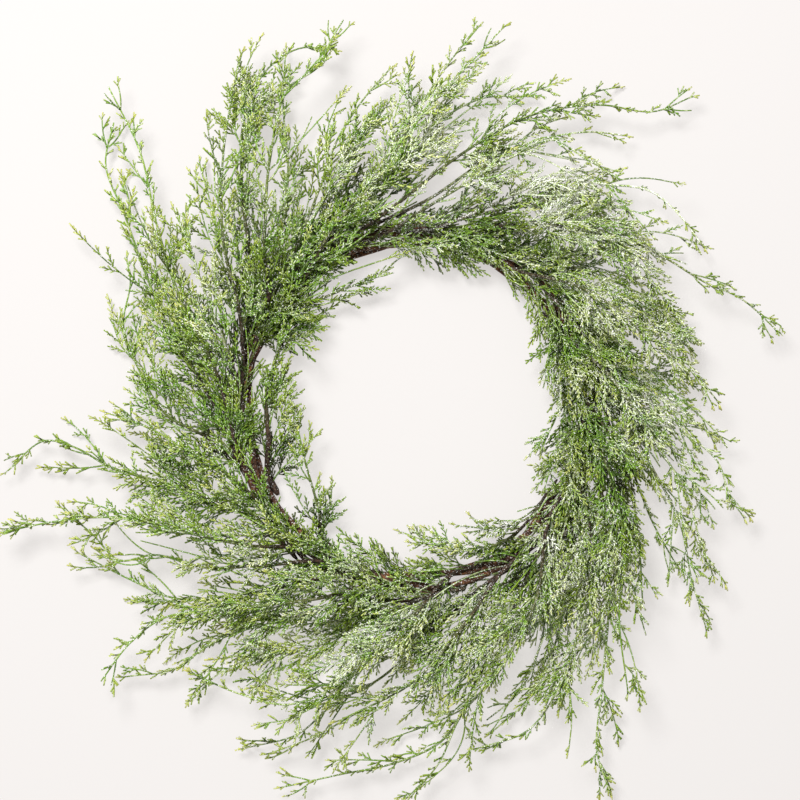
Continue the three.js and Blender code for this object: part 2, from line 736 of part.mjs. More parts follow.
function placeBranches(spray) {
  spray.stations.forEach((station, order) => {
    const faces = sidewaysFaces(spray.limb, station);
    const chosen = order % 2 === 0 ? [faces[0], faces[1]] : [faces[2]];
    chosen.forEach((face, place) => {
      const key = `station${spray.index}.${order}`;
      const draw = draws(1000 * (spray.index + 1) + 10 * order + place);
      for (let attempt = 0; attempt < BRANCH_TRIES; attempt += 1) {
        const branch = tryBranch(spray, station, face, key, draw, attempt);
        if (branch) {
          branch.rods.forEach((rod) => room.add(rod));
          spray.branches.push(branch);
          return;
        }
      }
    });
  });
}

function tryShoot(limb, node, half, face, key, draw, attempt) {
  const low = limb.ring(node - half);
  const high = limb.ring(node + half);
  const base = [low[face], high[(face + 1) % 3], high[face]];
  const centre = base.reduce((sum, p) => sum.add(p), point(0, 0, 0)).divideScalar(3);
  const frame = limb.at(node);
  const out = limb.faceNormal(node, face);
  const across = frame.heading.clone().cross(out);
  const angle = (SHOOT_ANGLE + SHOOT_ANGLE_RANGE * (draw() - 0.5)) * DEG;
  const lean = out.addScaledVector(across, (draw() - 0.5) * SHOOT_LEAN).normalize();
  const heading = mixOf(frame.heading, Math.cos(angle), lean, Math.sin(angle));
  const length = SHOOT_LENGTH * lengthDraw(draw) * (1 - SHOOT_SHRINK * attempt);
  const apex = centre.clone().addScaledVector(heading, length);
  const joins = (other) => {
    const touches = other.start < node + half + 0.1 && other.end > node - half - 0.1;
    const ahead = other.start < node + half + 2 && other.end > node;
    return other.key === key || (other.limb === limb && (touches || ahead));
  };
  const thick = Math.max(SHOOT_RADIUS, limb.radius(node));
  const rod = rodOf(centre, apex, thick, null, 0, 0, key, joins);
  const fits = apex.z > LOWEST && room.spaceRound(rod) > CLEAR;
  return fits ? { node, face, apex, rod } : null;
}

function placeShoots(owner, limb, node, half, faces, key, seed) {
  faces.forEach((face) => {
    const draw = draws(seed + face);
    for (let attempt = 0; attempt < SHOOT_TRIES; attempt += 1) {
      const shoot = tryShoot(limb, node, half, face, key, draw, attempt);
      if (shoot) {
        room.add(shoot.rod);
        owner.shoots.push(shoot);
        return;
      }
    }
  });
}

// Grows a limb along its rings, with its shoots and branches in place of faces at the nodes.
function growLimb(skin, base, limb, plan, half, parts) {
  let ring = base;
  const { stops, nodes } = plan;
  for (let i = 1; i < stops.length - 1; i += 1) {
    const next = limb.ring(stops[i]).map((corner) => skin.corner(corner));
    const sides = skin.join(ring, next);
    const middle = (stops[i - 1] + stops[i]) / 2;
    const node = nodes.find((distance) => Math.abs(distance - middle) < half / 2);
    parts.branches.filter((branch) => branch.station === node).forEach((branch) => {
      const root = skin.take(sides[branch.face][0]);
      growLimb(skin, root, branch.limb, branch, NODE_HALF, { branches: [], shoots: branch.shoots });
    });
    parts.shoots.filter((shoot) => shoot.node === node).forEach((shoot) => {
      const root = skin.take(sides[shoot.face][1]);
      skin.close(root, skin.corner(shoot.apex));
    });
    ring = next;
  }
  skin.close(ring, skin.corner(limb.at(limb.length).position));
}

function sprayGeometry(spray) {
  const skin = new Skin();
  const butt = spray.limb.ring(0).map((corner) => skin.corner(corner));
  skin.face(butt[0], butt[2], butt[1]);
  growLimb(skin, butt, spray.limb, spray, STATION_HALF, spray);
  return skin.geometry();
}

const sprays = SPRAYS.map((row, index) => placeStem(row, index));

sprays.forEach((spray) => placeBranches(spray));

sprays.forEach((spray) => {
  spray.branches.forEach((branch, order) => {
    branch.nodes.forEach((node, place) => {
      const key = `node${spray.index}.${order}.${place}`;
      const seed = 100000 * (spray.index + 1) + 1000 * order + 10 * place;
      const faces = place === 0 ? [order % 3, (order + 1) % 3] : [0, 1, 2];
      placeShoots(branch, branch.limb, node, NODE_HALF, faces, key, seed);
    });
  });
  spray.nodes.forEach((node, order) => {
    const used = spray.branches.filter((branch) => branch.station === node);
    const faces = [0, 1, 2].filter((face) => used.every((branch) => branch.face !== face));
    const slim = spray.limb.radius(node) < THICKEST_SHOOT_BASE;
    if (slim) {
      const seed = 7000000 + 1000 * spray.index + 10 * order;
      const key = `station${spray.index}.${order}`;
      placeShoots(spray, spray.limb, node, STATION_HALF, faces, key, seed);
    }
  });
});

const wreath = new THREE.Group();

function addPiece(name, geometry, look) {
  const material = new THREE.MeshStandardMaterial({ ...look, flatShading: true });
  const mesh = new THREE.Mesh(geometry, material);
  mesh.name = name;
  wreath.add(mesh);
}

function twoDigits(index) {
  return String(index + 1).padStart(2, "0");
}

STRAND_RADII.forEach((_, strand) => {
  addPiece(`vine_${"abcd"[strand]}`, strandGeometry(strand), VINE);
});

tieClocks.forEach((clock, tie) => addPiece(`tie_${tie + 1}`, tieGeometry(clock), WIRE));

sprays.forEach((spray, index) => {
  addPiece(`spray_${twoDigits(index)}`, sprayGeometry(spray), FOLIAGE);
});

// The origin is the middle of the underside of the whole wreath.
const box = new THREE.Box3().setFromObject(wreath);
wreath.position.set(-(box.min.x + box.max.x) / 2, -(box.min.y + box.max.y) / 2, 0);
wreath.updateMatrixWorld(true);

export default wreath;
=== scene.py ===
import json
import math

import bpy
import numpy as np
from mathutils import Matrix, Vector, kdtree


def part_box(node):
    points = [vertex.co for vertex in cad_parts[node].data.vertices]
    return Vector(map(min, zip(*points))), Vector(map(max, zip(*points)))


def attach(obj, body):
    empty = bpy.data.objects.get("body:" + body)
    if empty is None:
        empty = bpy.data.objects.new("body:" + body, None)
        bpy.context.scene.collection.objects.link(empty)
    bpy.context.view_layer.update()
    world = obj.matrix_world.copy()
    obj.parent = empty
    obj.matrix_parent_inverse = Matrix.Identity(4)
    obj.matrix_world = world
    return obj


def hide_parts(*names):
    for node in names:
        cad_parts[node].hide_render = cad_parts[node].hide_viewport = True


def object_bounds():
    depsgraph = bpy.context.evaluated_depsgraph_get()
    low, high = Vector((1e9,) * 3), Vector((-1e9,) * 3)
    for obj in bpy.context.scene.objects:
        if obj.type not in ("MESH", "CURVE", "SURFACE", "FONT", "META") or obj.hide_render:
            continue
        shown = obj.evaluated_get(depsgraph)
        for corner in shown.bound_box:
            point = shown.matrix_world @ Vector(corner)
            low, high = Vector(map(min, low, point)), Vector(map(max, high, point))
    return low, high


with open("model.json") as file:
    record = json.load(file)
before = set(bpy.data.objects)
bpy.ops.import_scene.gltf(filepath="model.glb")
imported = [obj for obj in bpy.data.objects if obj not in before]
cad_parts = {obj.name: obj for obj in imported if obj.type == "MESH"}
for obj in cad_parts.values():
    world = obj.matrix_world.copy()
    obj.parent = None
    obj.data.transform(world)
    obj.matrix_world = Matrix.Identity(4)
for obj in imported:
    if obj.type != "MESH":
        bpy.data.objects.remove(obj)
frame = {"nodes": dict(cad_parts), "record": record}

# Frosted cedar wreath on its back: vine ring, binding wire and 52 cedar sprays, each with its frost
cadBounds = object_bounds()
deg = math.pi / 180
mm = 0.001


class Draws:
    # the part's own seeded draws between 0 and 1
    def __init__(self, seed):
        self.state = seed & 0xFFFFFFFF

    def __call__(self):
        self.state = (self.state + 0x6D2B79F5) & 0xFFFFFFFF
        mix = ((self.state ^ (self.state >> 15)) * (self.state | 1)) & 0xFFFFFFFF
        mix ^= (mix + (((mix ^ (mix >> 7)) * (mix | 61)) & 0xFFFFFFFF)) & 0xFFFFFFFF
        return (mix ^ (mix >> 14)) / 4294967296

    def swing(self, width):
        # a draw that lies evenly to both sides of zero
        return (self() - 0.5) * width

    def side(self):
        return 1 if self() < 0.5 else -1


def unit(v):
    return v / np.linalg.norm(v)


def triple(x, y, z):
    return np.array([x, y, z], float)


def held(value, low, high):
    return min(max(value, low), high)


def outward(clock):
    return triple(math.sin(clock), math.cos(clock), 0)


# Vine ring, in mm round the ring's own centre
ring = {
    "radius": 151, "strandRadii": [3.3, 2.9, 3.2, 2.8], "turns": 3, "steps": 40, "sides": 6,
    "pinch": 4.65, "bulge": 7.5, "bulgeMin": 2.5, "bulgeSpread": 4, "bulgeSeed": 41,
    "pinchCount": 8, "pinchFirst": 15, "pinchStep": 45, "pinchWander": 2.2, "pinchWave": 2.4,
    "flatSpans": 6, "flatDepth": 0.05, "tieEvery": 2,
}
strands = range(len(ring["strandRadii"]))
pinchClocks = [
    (ring["pinchFirst"] + ring["pinchStep"] * i + ring["pinchWander"] * math.sin(ring["pinchWave"] * i)) * deg
    for i in range(ring["pinchCount"])
]
tieClocks = pinchClocks[::ring["tieEvery"]]
bulgeDraw = Draws(ring["bulgeSeed"])
looseBulges = [
    ring["bulgeMin"] + ring["bulgeSpread"] * bulgeDraw() for _ in range(ring["pinchCount"] * len(strands))
]


def spanOf(clock):
    # which span between two pinches this is, how far along it, and the span's middle
    turn = 2 * math.pi
    for i, (start, end) in enumerate(zip(pinchClocks, pinchClocks[1:] + [pinchClocks[0] + turn])):
        along = (clock - start) % turn
        if along < end - start:
            return i, along / (end - start), start + (end - start) / 2
    return 0, 0, pinchClocks[0]


def strandPhase(strand, clock):
    return strand * 90 * deg + ring["turns"] * clock


def strandSpread(strand, clock):
    # the strand that lies lowest in the middle of a span bulges most, to touch the ground there
    index, along, middle = spanOf(clock)
    depths = [math.sin(strandPhase(k, middle)) for k in strands]
    under = depths.index(min(depths)) == strand
    bulge = ring["bulge"] if under else looseBulges[index * len(strands) + strand]
    return ring["pinch"] + bulge * math.sin(math.pi * along) ** 2


def ringHeight():
    # low enough for the wanted number of spans to reach the ground with a small flat
    runs = [0] * ring["pinchCount"]
    step = 2 * math.pi / ring["steps"]
    for i in range(ring["steps"]):
        ends = (i * step, (i + 1) * step)
        span = spanOf(ends[0])[0]
        for strand, radius in enumerate(ring["strandRadii"]):
            depths = [-strandSpread(strand, clock) * math.sin(strandPhase(strand, clock)) for clock in ends]
            runs[span] = max(runs[span], min(depths) + radius * math.cos(math.pi / ring["sides"]))
    return sorted(runs, reverse=True)[ring["flatSpans"] - 1] - ring["flatDepth"]


ringLevel = ringHeight()


def strandCentre(strand, clock):
    spread = strandSpread(strand, clock)
    phase = strandPhase(strand, clock)
    centre = outward(clock) * (ring["radius"] + spread * math.cos(phase))
    centre[2] = ringLevel + spread * math.sin(phase)
    return centre


strandLines = [
    [strandCentre(k, 2 * math.pi * i / ring["steps"]) for i in range(ring["steps"])] for k in strands
]


def strandAt(strand, clock):
    turns = clock / (2 * math.pi)
    steps = ring["steps"]
    step = (turns - math.floor(turns)) * steps
    i = int(step)
    line = strandLines[strand]
    return line[i % steps] + (line[(i + 1) % steps] - line[i % steps]) * (step - i)


def sideways(clock, turn):
    direction = outward(clock) * math.cos(turn)
    direction[2] = math.sin(turn)
    return direction


def ringShift():
    # where the ring's centre lies in the part: the ties stand evenly round it
    found = []
    for k, clock in enumerate(tieClocks):
        low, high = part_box(f"tie_{k + 1}")
        middle = np.array((low + high) / 2) / mm
        found.append(middle - outward(clock) * ring["radius"])
    return np.array([*np.mean(found, axis=0)[:2], 0])


shift = ringShift()
print("ring centre in mm", shift.round(2), "level", round(ringLevel, 2))


# Stems, laid out as the solids are. The sheet is in the photo's pixels, "half" is half its width, and
# "eye" and "middle" are the heights of the camera and of the plane that the sheet fits
layout = {
    "unit": 0.85, "x": 415, "y": 410, "half": 400, "eye": 1652, "middle": 46.4,
    "ride": 18, "rideGap": 0.45, "tip": 0.7, "taper": 1.25, "firstLift": 0.6, "innerSide": 180,
}
# The last stem runs thick and bare down the left edge of the hole
thickStem = {"index": 51, "share": 1.7, "bark": 2, "firstTwig": 70, "firstSprig": 80}
# Each row: clock angle, root radius, seat, then sheet x, y and height in mm
stemRows = [
    [252, 2.2, 60, (214, 370, 34), (180, 300, 40), (156, 225, 40), (138, 150, 34), (105, 83, 28)],
    [246, 2.1, 0, (205, 395, 18), (166, 330, 20), (140, 268, 20), (120, 212, 18), (100, 158, 16),
     (108, 117, 14)],
    [238, 1.9, 0, (205, 440, 14), (158, 412, 12), (135, 372, 13), (118, 325, 15), (125, 275, 16),
     (122, 260, 16)],
    [262, 1.9, 90, (226, 345, 54), (207, 295, 60), (192, 250, 56), (175, 212, 48)],
    [268, 1.9, 30, (232, 318, 26), (221, 262, 28), (209, 205, 24), (197, 163, 20)],
    [272, 2.2, 90, (238, 305, 46), (225, 250, 52), (222, 180, 50), (229, 110, 44), (240, 54, 36)],
    [281, 2.2, 30, (249, 268, 30), (241, 190, 34), (244, 115, 36), (265, 68, 34), (296, 46, 32),
     (334, 44, 30)],
    [279, 2.2, 90, (266, 240, 66), (272, 160, 68), (292, 88, 58), (320, 65, 48), (328, 45, 44),
     (343, 18, 38)],
    [284, 2.0, 0, (278, 235, 14), (286, 165, 16), (281, 100, 16), (283, 47, 14)],
    [289, 2.1, 60, (288, 264, 42), (319, 188, 44), (336, 140, 40), (362, 98, 36), (388, 67, 32)],
    [303, 2.2, 30, (350, 217, 22), (385, 170, 24), (412, 118, 26), (442, 70, 26), (476, 25, 24)],
    [298, 2.1, 90, (335, 228, 60), (395, 160, 64), (430, 105, 58), (462, 72, 50), (502, 28, 42)],
    [308, 2.0, 0, (352, 215, 12), (402, 158, 12), (445, 112, 14), (485, 92, 14), (532, 90, 13)],
    [318, 2.2, 60, (395, 205, 42), (460, 155, 46), (530, 115, 42), (600, 103, 36), (660, 108, 30),
     (693, 94, 26)],
    [334, 2.0, 90, (448, 196, 62), (510, 160, 64), (555, 142, 56), (580, 156, 50), (622, 180, 44)],
    [350, 2.2, 60, (490, 205, 38), (550, 180, 40), (610, 183, 36), (655, 190, 30), (684, 214, 26),
     (706, 242, 22)],
    [5, 2.2, 75, (535, 225, 58), (600, 232, 60), (660, 256, 52), (710, 284, 42), (740, 296, 36),
     (785, 333, 28)],
    [355, 2.0, 0, (520, 203, 16), (580, 196, 16), (620, 218, 17), (655, 245, 17), (692, 262, 16)],
    [16, 2.0, 30, (560, 262, 30), (615, 280, 32), (665, 308, 30), (692, 345, 26)],
    [24, 2.0, 90, (580, 290, 70), (630, 322, 70), (672, 358, 58), (700, 380, 50), (717, 400, 44)],
    [32, 2.0, 0, (592, 320, 14), (640, 360, 14), (680, 395, 15), (710, 420, 15), (727, 438, 14)],
    [40, 2.2, 60, (600, 350, 42), (645, 392, 44), (690, 435, 40), (720, 462, 34), (735, 498, 30),
     (751, 515, 28)],
    [51, 2.1, 90, (615, 385, 62), (655, 445, 62), (688, 500, 52), (704, 550, 42), (725, 581, 36)],
    [57, 2.1, 30, (618, 405, 24), (652, 465, 26), (682, 525, 26), (694, 580, 22), (709, 629, 18)],
    [64, 1.9, 0, (612, 420, 12), (638, 474, 12), (658, 525, 13), (683, 570, 13)],
    [70, 2.0, 75, (614, 445, 48), (632, 500, 52), (640, 550, 44), (644, 600, 36)],
    [77, 2.1, 90, (606, 470, 70), (621, 540, 68), (618, 620, 56), (628, 690, 44)],
    [84, 2.2, 30, (605, 505, 28), (611, 590, 32), (604, 690, 30), (600, 760, 26), (613, 798, 24)],
    [96, 2.2, 75, (592, 545, 50), (579, 625, 54), (558, 690, 46), (528, 733, 36), (480, 752, 28)],
    [104, 2.0, 0, (572, 565, 14), (561, 640, 14), (535, 700, 15), (495, 738, 14)],
    [116, 2.2, 90, (533, 602, 64), (500, 665, 66), (460, 715, 56), (438, 765, 44), (413, 797, 36)],
    [124, 2.2, 30, (512, 617, 26), (478, 682, 30), (442, 745, 28), (395, 768, 24), (340, 780, 22),
     (283, 793, 20)],
    [138, 2.1, 60, (462, 628, 44), (412, 683, 46), (355, 715, 40), (312, 740, 34), (270, 757, 28)],
    [146, 2.1, 0, (437, 633, 13), (380, 684, 13), (330, 712, 15), (297, 740, 15), (243, 755, 14)],
    [156, 2.1, 90, (400, 630, 62), (345, 678, 62), (285, 704, 50), (240, 695, 42), (192, 676, 36)],
    [172, 2.2, 30, (345, 607, 30), (285, 622, 34), (228, 637, 32), (200, 652, 28), (178, 670, 26),
     (122, 681, 22)],
    [180, 2.2, 75, (315, 598, 56), (255, 605, 58), (200, 610, 50), (160, 620, 42), (128, 645, 36),
     (98, 684, 30)],
    [190, 2.1, 0, (285, 590, 15), (225, 600, 15), (170, 602, 16), (125, 583, 16), (74, 557, 15)],
    [200, 2.1, 60, (262, 566, 42), (205, 568, 42), (150, 556, 36), (118, 562, 32), (88, 535, 28),
     (58, 510, 26)],
    [208, 2.2, 90, (245, 543, 66), (185, 530, 66), (120, 517, 54), (60, 521, 42), (0, 533, 34)],
    [218, 2.2, 30, (225, 507, 26), (165, 485, 28), (105, 467, 26), (70, 448, 24), (42, 441, 22),
     (0, 473, 20)],
    [226, 2.0, 75, (222, 470, 50), (180, 445, 52), (140, 424, 42), (108, 414, 36)],
    [164, 2.0, 0, (370, 625, 14), (315, 650, 15), (255, 664, 16), (215, 679, 16), (190, 703, 15)],
    [326, 2.1, 30, (430, 196, 26), (490, 156, 26), (550, 134, 24), (600, 128, 22), (626, 131, 20)],
    [46, 2.0, 30, (610, 372, 28), (650, 420, 28), (684, 464, 26), (702, 492, 24), (714, 520, 22)],
    [110, 2.0, 30, (552, 580, 30), (541, 650, 30), (519, 698, 26), (488, 725, 22)],
    [208, 1.8, 180, (318, 512, 28), (305, 464, 34), (292, 404, 36)],
    [303, 1.8, 180, (318, 298, 24), (348, 286, 28), (376, 276, 30), (398, 258, 32)],
    [52, 1.8, 180, (560, 365, 34), (560, 405, 42), (549, 432, 44), (532, 452, 44)],
    [116, 1.8, 180, (533, 517, 28), (499, 529, 32), (461, 527, 34)],
    [126, 1.8, 180, (480, 549, 40), (440, 545, 46), (404, 533, 48)],
    [238, 2.2, 180, (267, 440, 24), (265, 400, 28), (273, 362, 30), (286, 328, 30)],
]
# What to try to find a stem in its solid: turns of its clock angle and lifts of its height
clockShifts = [0, 3, -3, 6, -6, 9, -9, 12, -12]
lifts = [0, 2, -2, 4, -4, 6, -6, 8, -8, 11, -11]


def onSheet(x, y, z):
    return triple((x - layout["x"]) * layout["unit"], (layout["y"] - y) * layout["unit"], z)


def smoothLine(points):
    # a smooth curve through the points, in steps of 2 mm or less
    legs = np.diff(points, axis=0)
    lengths = np.linalg.norm(legs, axis=1)
    headings = legs / lengths[:, None]
    slopes = [headings[0]]
    for i in range(1, len(points) - 1):
        total = lengths[i - 1] + lengths[i]
        slopes.append(headings[i - 1] * lengths[i] / total + headings[i] * lengths[i - 1] / total)
    slopes.append(headings[-1])
    line = [points[:1]]
    for i, length in enumerate(lengths):
        steps = math.ceil(length / 2)
        u = (np.arange(1, steps + 1) / steps)[:, None]
        line.append(
            points[i] * (1 + 2 * u) * (1 - u) ** 2 + slopes[i] * u * (1 - u) ** 2 * length
            + points[i + 1] * u * u * (3 - 2 * u) + slopes[i + 1] * u * u * (u - 1) * length
        )
    return np.vstack(line)


class Limb:
    # a stem, branch or twig: its line, its frame along the line and its radius
    def __init__(self, points, corner, rootRadius, tipRadius, taper=layout["taper"]):
        self.line = smoothLine(np.array(points))
        self.marks = np.concatenate([[0], np.cumsum(np.linalg.norm(np.diff(self.line, axis=0), axis=1))])
        self.length = self.marks[-1]
        self.rootRadius, self.tipRadius, self.taper = rootRadius, tipRadius, taper
        ahead = np.vstack([self.line[1:], self.line[-1:]])
        behind = np.vstack([self.line[:1], self.line[:-1]])
        self.headings = (ahead - behind) / np.linalg.norm(ahead - behind, axis=1)[:, None]
        carried = np.array(corner, float)
        sides = []
        for heading in self.headings:
            carried = carried - heading * (carried @ heading)
            carried = carried / math.sqrt(carried @ carried)
            sides.append(carried)
        self.sides = np.array(sides)

    def at(self, distance):
        marks = np.clip(np.atleast_1d(np.asarray(distance, float)), 0, self.length)
        i = np.clip(np.searchsorted(self.marks[1:], marks), 0, len(self.marks) - 2)
        share = ((marks - self.marks[i]) / (self.marks[i + 1] - self.marks[i]))[:, None]
        position = self.line[i] + (self.line[i + 1] - self.line[i]) * share
        heading = self.headings[i] + (self.headings[i + 1] - self.headings[i]) * share
        heading /= np.linalg.norm(heading, axis=1)[:, None]
        side = self.sides[i] + (self.sides[i + 1] - self.sides[i]) * share
        side -= heading * (side * heading).sum(axis=1)[:, None]
        side /= np.linalg.norm(side, axis=1)[:, None]
        return position, heading, side, np.cross(heading, side)

    def spot(self, distance):
        return [part[0] for part in self.at(distance)]

    def radius(self, distance):
        left = np.clip(1 - np.asarray(distance, float) / self.length, 0, 1)
        return self.tipRadius + (self.rootRadius - self.tipRadius) * left ** self.taper

    def faceNormal(self, distance, face):
        _, _, side, over = self.spot(distance)
        angle = (60 + 120 * face) * deg
        return side * math.cos(angle) + over * math.sin(angle)


def nodePoints(name):
    # the solid's own corners in mm round the ring's centre, to find each stem and branch in it
    data = frame["nodes"][name].data
    co = np.zeros(len(data.vertices) * 3, np.float32)
    data.vertices.foreach_get("co", co)
    points = np.unique(co.reshape(-1, 3).round(7), axis=0).astype(float) / mm - shift
    tree = kdtree.KDTree(len(points))
    for i, p in enumerate(points):
        tree.insert(p, i)
    tree.balance()
    return tree


def has(tree, point, within=0.03):
    return tree.find(point)[2] < within


def findStem(row, tree):
    # the stem starts along one face of a vine, where the solid has its root corners
    rootRadius, last = row[1], row[-1]
    lift = next(v for v in lifts if has(tree, onSheet(last[0], last[1], last[2] + v)))
    for change in clockShifts:
        clock = (row[0] + change) * deg
        for strand in strands:
            offset = ring["strandRadii"][strand] + rootRadius + layout["rideGap"]
            for side in range(ring["sides"]):
                turn = side * 60 * deg
                ride = []
                for i in range(2):
                    here = clock + i * layout["ride"] / ring["radius"]
                    ride.append(strandAt(strand, here) + sideways(here, turn) * offset)
                near = [d for _, _, d in tree.find_range(ride[0], rootRadius + 0.05) if d > rootRadius - 0.05]
                if len(near) < 3:
                    continue
                free = [
                    onSheet(x, y, z + lift * (layout["firstLift"] if i == 0 else 1))
                    for i, (x, y, z) in enumerate(row[3:])
                ]
                return Limb([*ride, *free], -sideways(clock, turn), rootRadius, layout["tip"])
    raise ValueError("a stem isn't where the part has it")


# Side branches, with the draws, sizes and angles that the solids have
branchWay = {
    "root": 1.0, "tip": 0.65, "short": 16, "long": 84, "base": 12, "share": 0.4, "inner": 0.62,
    "angle": 37, "angleRange": 16, "lean": 0.9, "rise": 0.25, "knee": 0.45, "tries": 14, "shrink": 0.045,
    "first": 12, "last": 9, "tail": 14, "pitch": 75, "fewest": 3, "most": 5,
}


def tryBranch(stem, inner, station, face, numbers, attempt):
    way = branchWay
    position, heading, _, _ = stem.spot(station)
    out = stem.faceNormal(station, face)
    flat = out * triple(1, 1, 0.5)
    flat = unit(flat - heading * (flat @ heading))
    across = np.cross(heading, out)
    lean = unit(out * 0.5 + flat * 0.6 + across * (numbers[0] - 0.5) * way["lean"])
    opening = (way["angle"] + way["angleRange"] * (numbers[1] - 0.5)) * deg
    closing = opening * (0.2 + 0.5 * numbers[2])
    wanted = held(way["share"] * (stem.length - station) + way["base"], way["short"], way["long"])
    length = (way["inner"] if inner else 1) * wanted * (0.85 + 0.3 * numbers[3])
    length *= 1 - way["shrink"] * attempt
    start = heading * math.cos(opening) + lean * math.sin(opening)
    end = stem.spot(station + 0.8 * length)[1] * math.cos(closing) + lean * math.sin(closing)
    end[2] += way["rise"] * (numbers[4] - 0.5)
    knee = position + start * way["knee"] * length
    tip = knee + unit(end) * (1 - way["knee"]) * length
    bend = [position * (1 - u) ** 2 + knee * 2 * u * (1 - u) + tip * u * u for u in (0, 0.25, 0.5, 0.75, 1)]
    return bend, out


def findBranches(index, stem, inner, tree):
    way = branchWay
    first = layout["ride"] + way["first"]
    last = stem.length - way["last"] - way["tail"]
    count = held(math.floor((last - first) / way["pitch"] + 0.5) + 1, way["fewest"], way["most"])
    found = []
    for order in range(count):
        station = first + (last - first) * order / (count - 1)
        for place in range(2 if order % 2 == 0 else 1):
            draw = Draws(1000 * (index + 1) + 10 * order + place)
            branch = None
            for attempt in range(way["tries"]):
                numbers = [draw() for _ in range(5)]
                for face in range(3):
                    bend, out = tryBranch(stem, inner, station, face, numbers, attempt)
                    if branch is None and has(tree, bend[-1]):
                        branch = (station, Limb(bend, out, way["root"], way["tip"]))
                if branch:
                    break
            if branch:
                found.append(branch)
    return found


sprays = []
for index, row in enumerate(stemRows):
    tree = nodePoints(f"spray_{index + 1:02d}")
    stem = findStem(row, tree)
    inner = row[2] == layout["innerSide"]
    sprays.append((stem, findBranches(index, stem, inner, tree), inner))
print("stems", len(sprays), "branches", sum(len(branches) for _, branches, _ in sprays))


# Foliage: every sprig is made of copies of one scaly shoot and one thin axis
foliage = {
    "shootRadius": 0.78, "shootLength": 7.4, "axisRadius": 0.6, "stemShare": 0.9, "nose": 0.45,
    "barkEnd": 0.8, "twigPitch": 10.5, "twigLong": 46, "twigShort": 8, "twigAngle": 30, "sprigPitch": 6.4,
    "stemSprigPitch": 8, "fringe": 4, "fringeLength": (18, 42), "floor": 1.0, "softFloor": 2,
    "margin": 0.8, "bulkRange": (0.3, 1.9), "gapDepth": 0.95, "seed": 7000,
}
